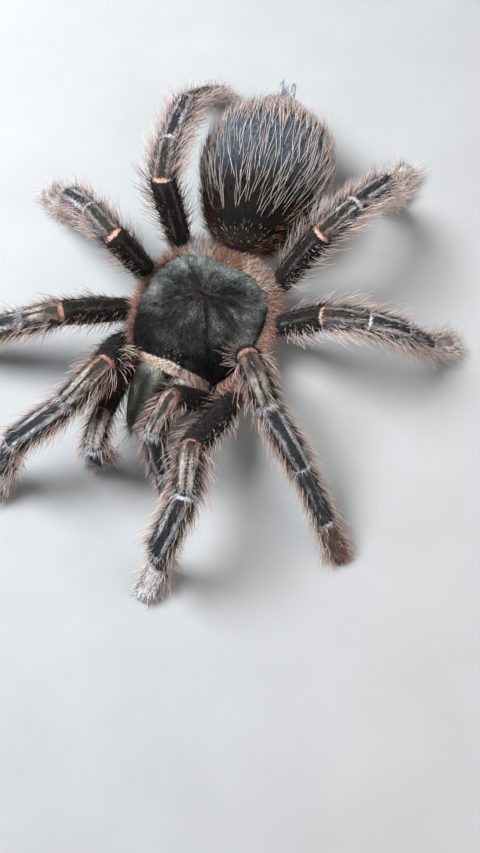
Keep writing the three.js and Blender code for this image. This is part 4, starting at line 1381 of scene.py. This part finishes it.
def stalk_roots(count, rng):
    start, end = np.array(STALK)
    run = unit(end - start)
    t, turn = rng.uniform(0, 0.8, count), rng.uniform(-np.pi, np.pi, count)
    normal = around(run, turn)
    point = start + (end - start) * t[:, None] + 1.35 * normal
    chart = np.stack([0.6 + 0.35 * t, wrapped(turn)], -1)
    return Roots(point, normal, np.tile(run, (count, 1)), chart)


def make_underside_coat(seed):
    """Brown hairs under the front body and round the stalk."""
    coat = Coat(seed)
    coat.comb(sternum_roots(2200, coat.rng), VELVET.grown(1.2), SOOT, BROWN)
    roots = stalk_roots(900, coat.rng)
    warm = mix(RUST, PEACH, coat.shares(roots))
    coat.comb(roots, GUARD.grown(0.9), warm * 0.6, warm)
    coat.finish("coat_underside", HAIR, "body_coat")


# ------------------------------------------------------------------ stage, light and camera
CAMERA = dict(azimuth=29.64, elevation=76.51, roll=-4.39, distance=147.28, target=(16.37, -16.78, 10))
FOCAL_PIXELS = 800
IMAGE_HEIGHT = 853
SENSOR = 36
LIGHT_AIM = (0, 5, 8)


def camera_axes():
    """Directions of the image's right and top, and from the target towards the camera."""
    a, e, r = (math.radians(CAMERA[key]) for key in ("azimuth", "elevation", "roll"))
    back = np.array([math.sin(a) * math.cos(e), -math.cos(a) * math.cos(e), math.sin(e)])
    level = np.array([math.cos(a), math.sin(a), 0])
    upright = np.cross(back, level)
    right = math.cos(r) * level + math.sin(r) * upright
    up = -math.sin(r) * level + math.cos(r) * upright
    return right, up, back


def make_camera():
    """Camera fitted to the photograph's perspective."""
    right, up, back = camera_axes()
    data = bpy.data.cameras.new("camera")
    data.sensor_width = SENSOR
    data.lens = FOCAL_PIXELS / IMAGE_HEIGHT * SENSOR
    data.clip_start = 0.005
    data.clip_end = 10
    camera = bpy.data.objects.new("camera", data)
    place = to_row(np.array(CAMERA["target"]) + back * CAMERA["distance"])
    turn = Matrix(np.column_stack([right, up, back])).to_4x4()
    camera.matrix_world = Matrix.Translation(place) @ turn
    bpy.context.scene.collection.objects.link(camera)
    bpy.context.scene.camera = camera


def make_light(name, offset, size, power, colour):
    """Square soft light at `offset` (image right, image up, towards the camera), in mm."""
    axes = np.array(camera_axes())
    place = to_row(np.array(LIGHT_AIM) + np.array(offset, float) @ axes)
    data = bpy.data.lights.new(name, "AREA")
    data.size = size / 1000
    data.energy = power
    data.color = colour
    light = bpy.data.objects.new(name, data)
    light.location = place
    aim = Vector(to_row(LIGHT_AIM)) - Vector(place)
    light.rotation_mode = "QUATERNION"
    light.rotation_quaternion = aim.to_track_quat("-Z", "Y")
    bpy.context.scene.collection.objects.link(light)


def make_stage():
    """Plain pale floor, two soft lights and a dim sky."""
    bpy.ops.mesh.primitive_plane_add(size=3, location=(0, 0, 0))
    floor = bpy.context.object
    floor.name = "floor"
    material, tree, shader = new_material("floor_paper", Roughness=0.9)
    ramp = add_range(tree, add_noise(tree, 60), 0.32, 0.345)
    shade = tree.nodes.new("ShaderNodeCombineColor")
    for channel in ("Red", "Green", "Blue"):
        tree.links.new(ramp, shade.inputs[channel])
    tree.links.new(shade.outputs["Color"], shader.inputs["Base Color"])
    floor.data.materials.append(material)
    make_light("key", (-150, 120, 240), 150, 2.45, (0.93, 0.97, 1.0))
    make_light("fill", (220, -60, 160), 260, 0.55, (1.0, 0.93, 0.86))
    world = bpy.data.worlds.new("studio")
    world.use_nodes = True
    background = world.node_tree.nodes["Background"]
    background.inputs["Color"].default_value = (0.75, 0.8, 0.88, 1)
    background.inputs["Strength"].default_value = 0.3
    bpy.context.scene.world = world
    bpy.context.scene.view_settings.view_transform = "Standard"


# ------------------------------------------------------------------ assembly
def build():
    limbs = [Limb(name) for name in POSE]
    make_skin(limbs)
    make_shield()
    make_eyes()
    make_jaws()
    make_claws(limbs)
    for seed, limb in enumerate(limbs):
        make_limb_coat(limb, 100 + seed)
    make_abdomen_coat(200)
    make_rump_coat(250)
    make_shield_coat(300)
    make_fringe_coat(350)
    for seed, (side_name, sign) in enumerate(SIDES):
        make_jaw_coat(side_name, sign, 400 + seed)
    make_underside_coat(500)
    make_stage()
    make_camera()


build()
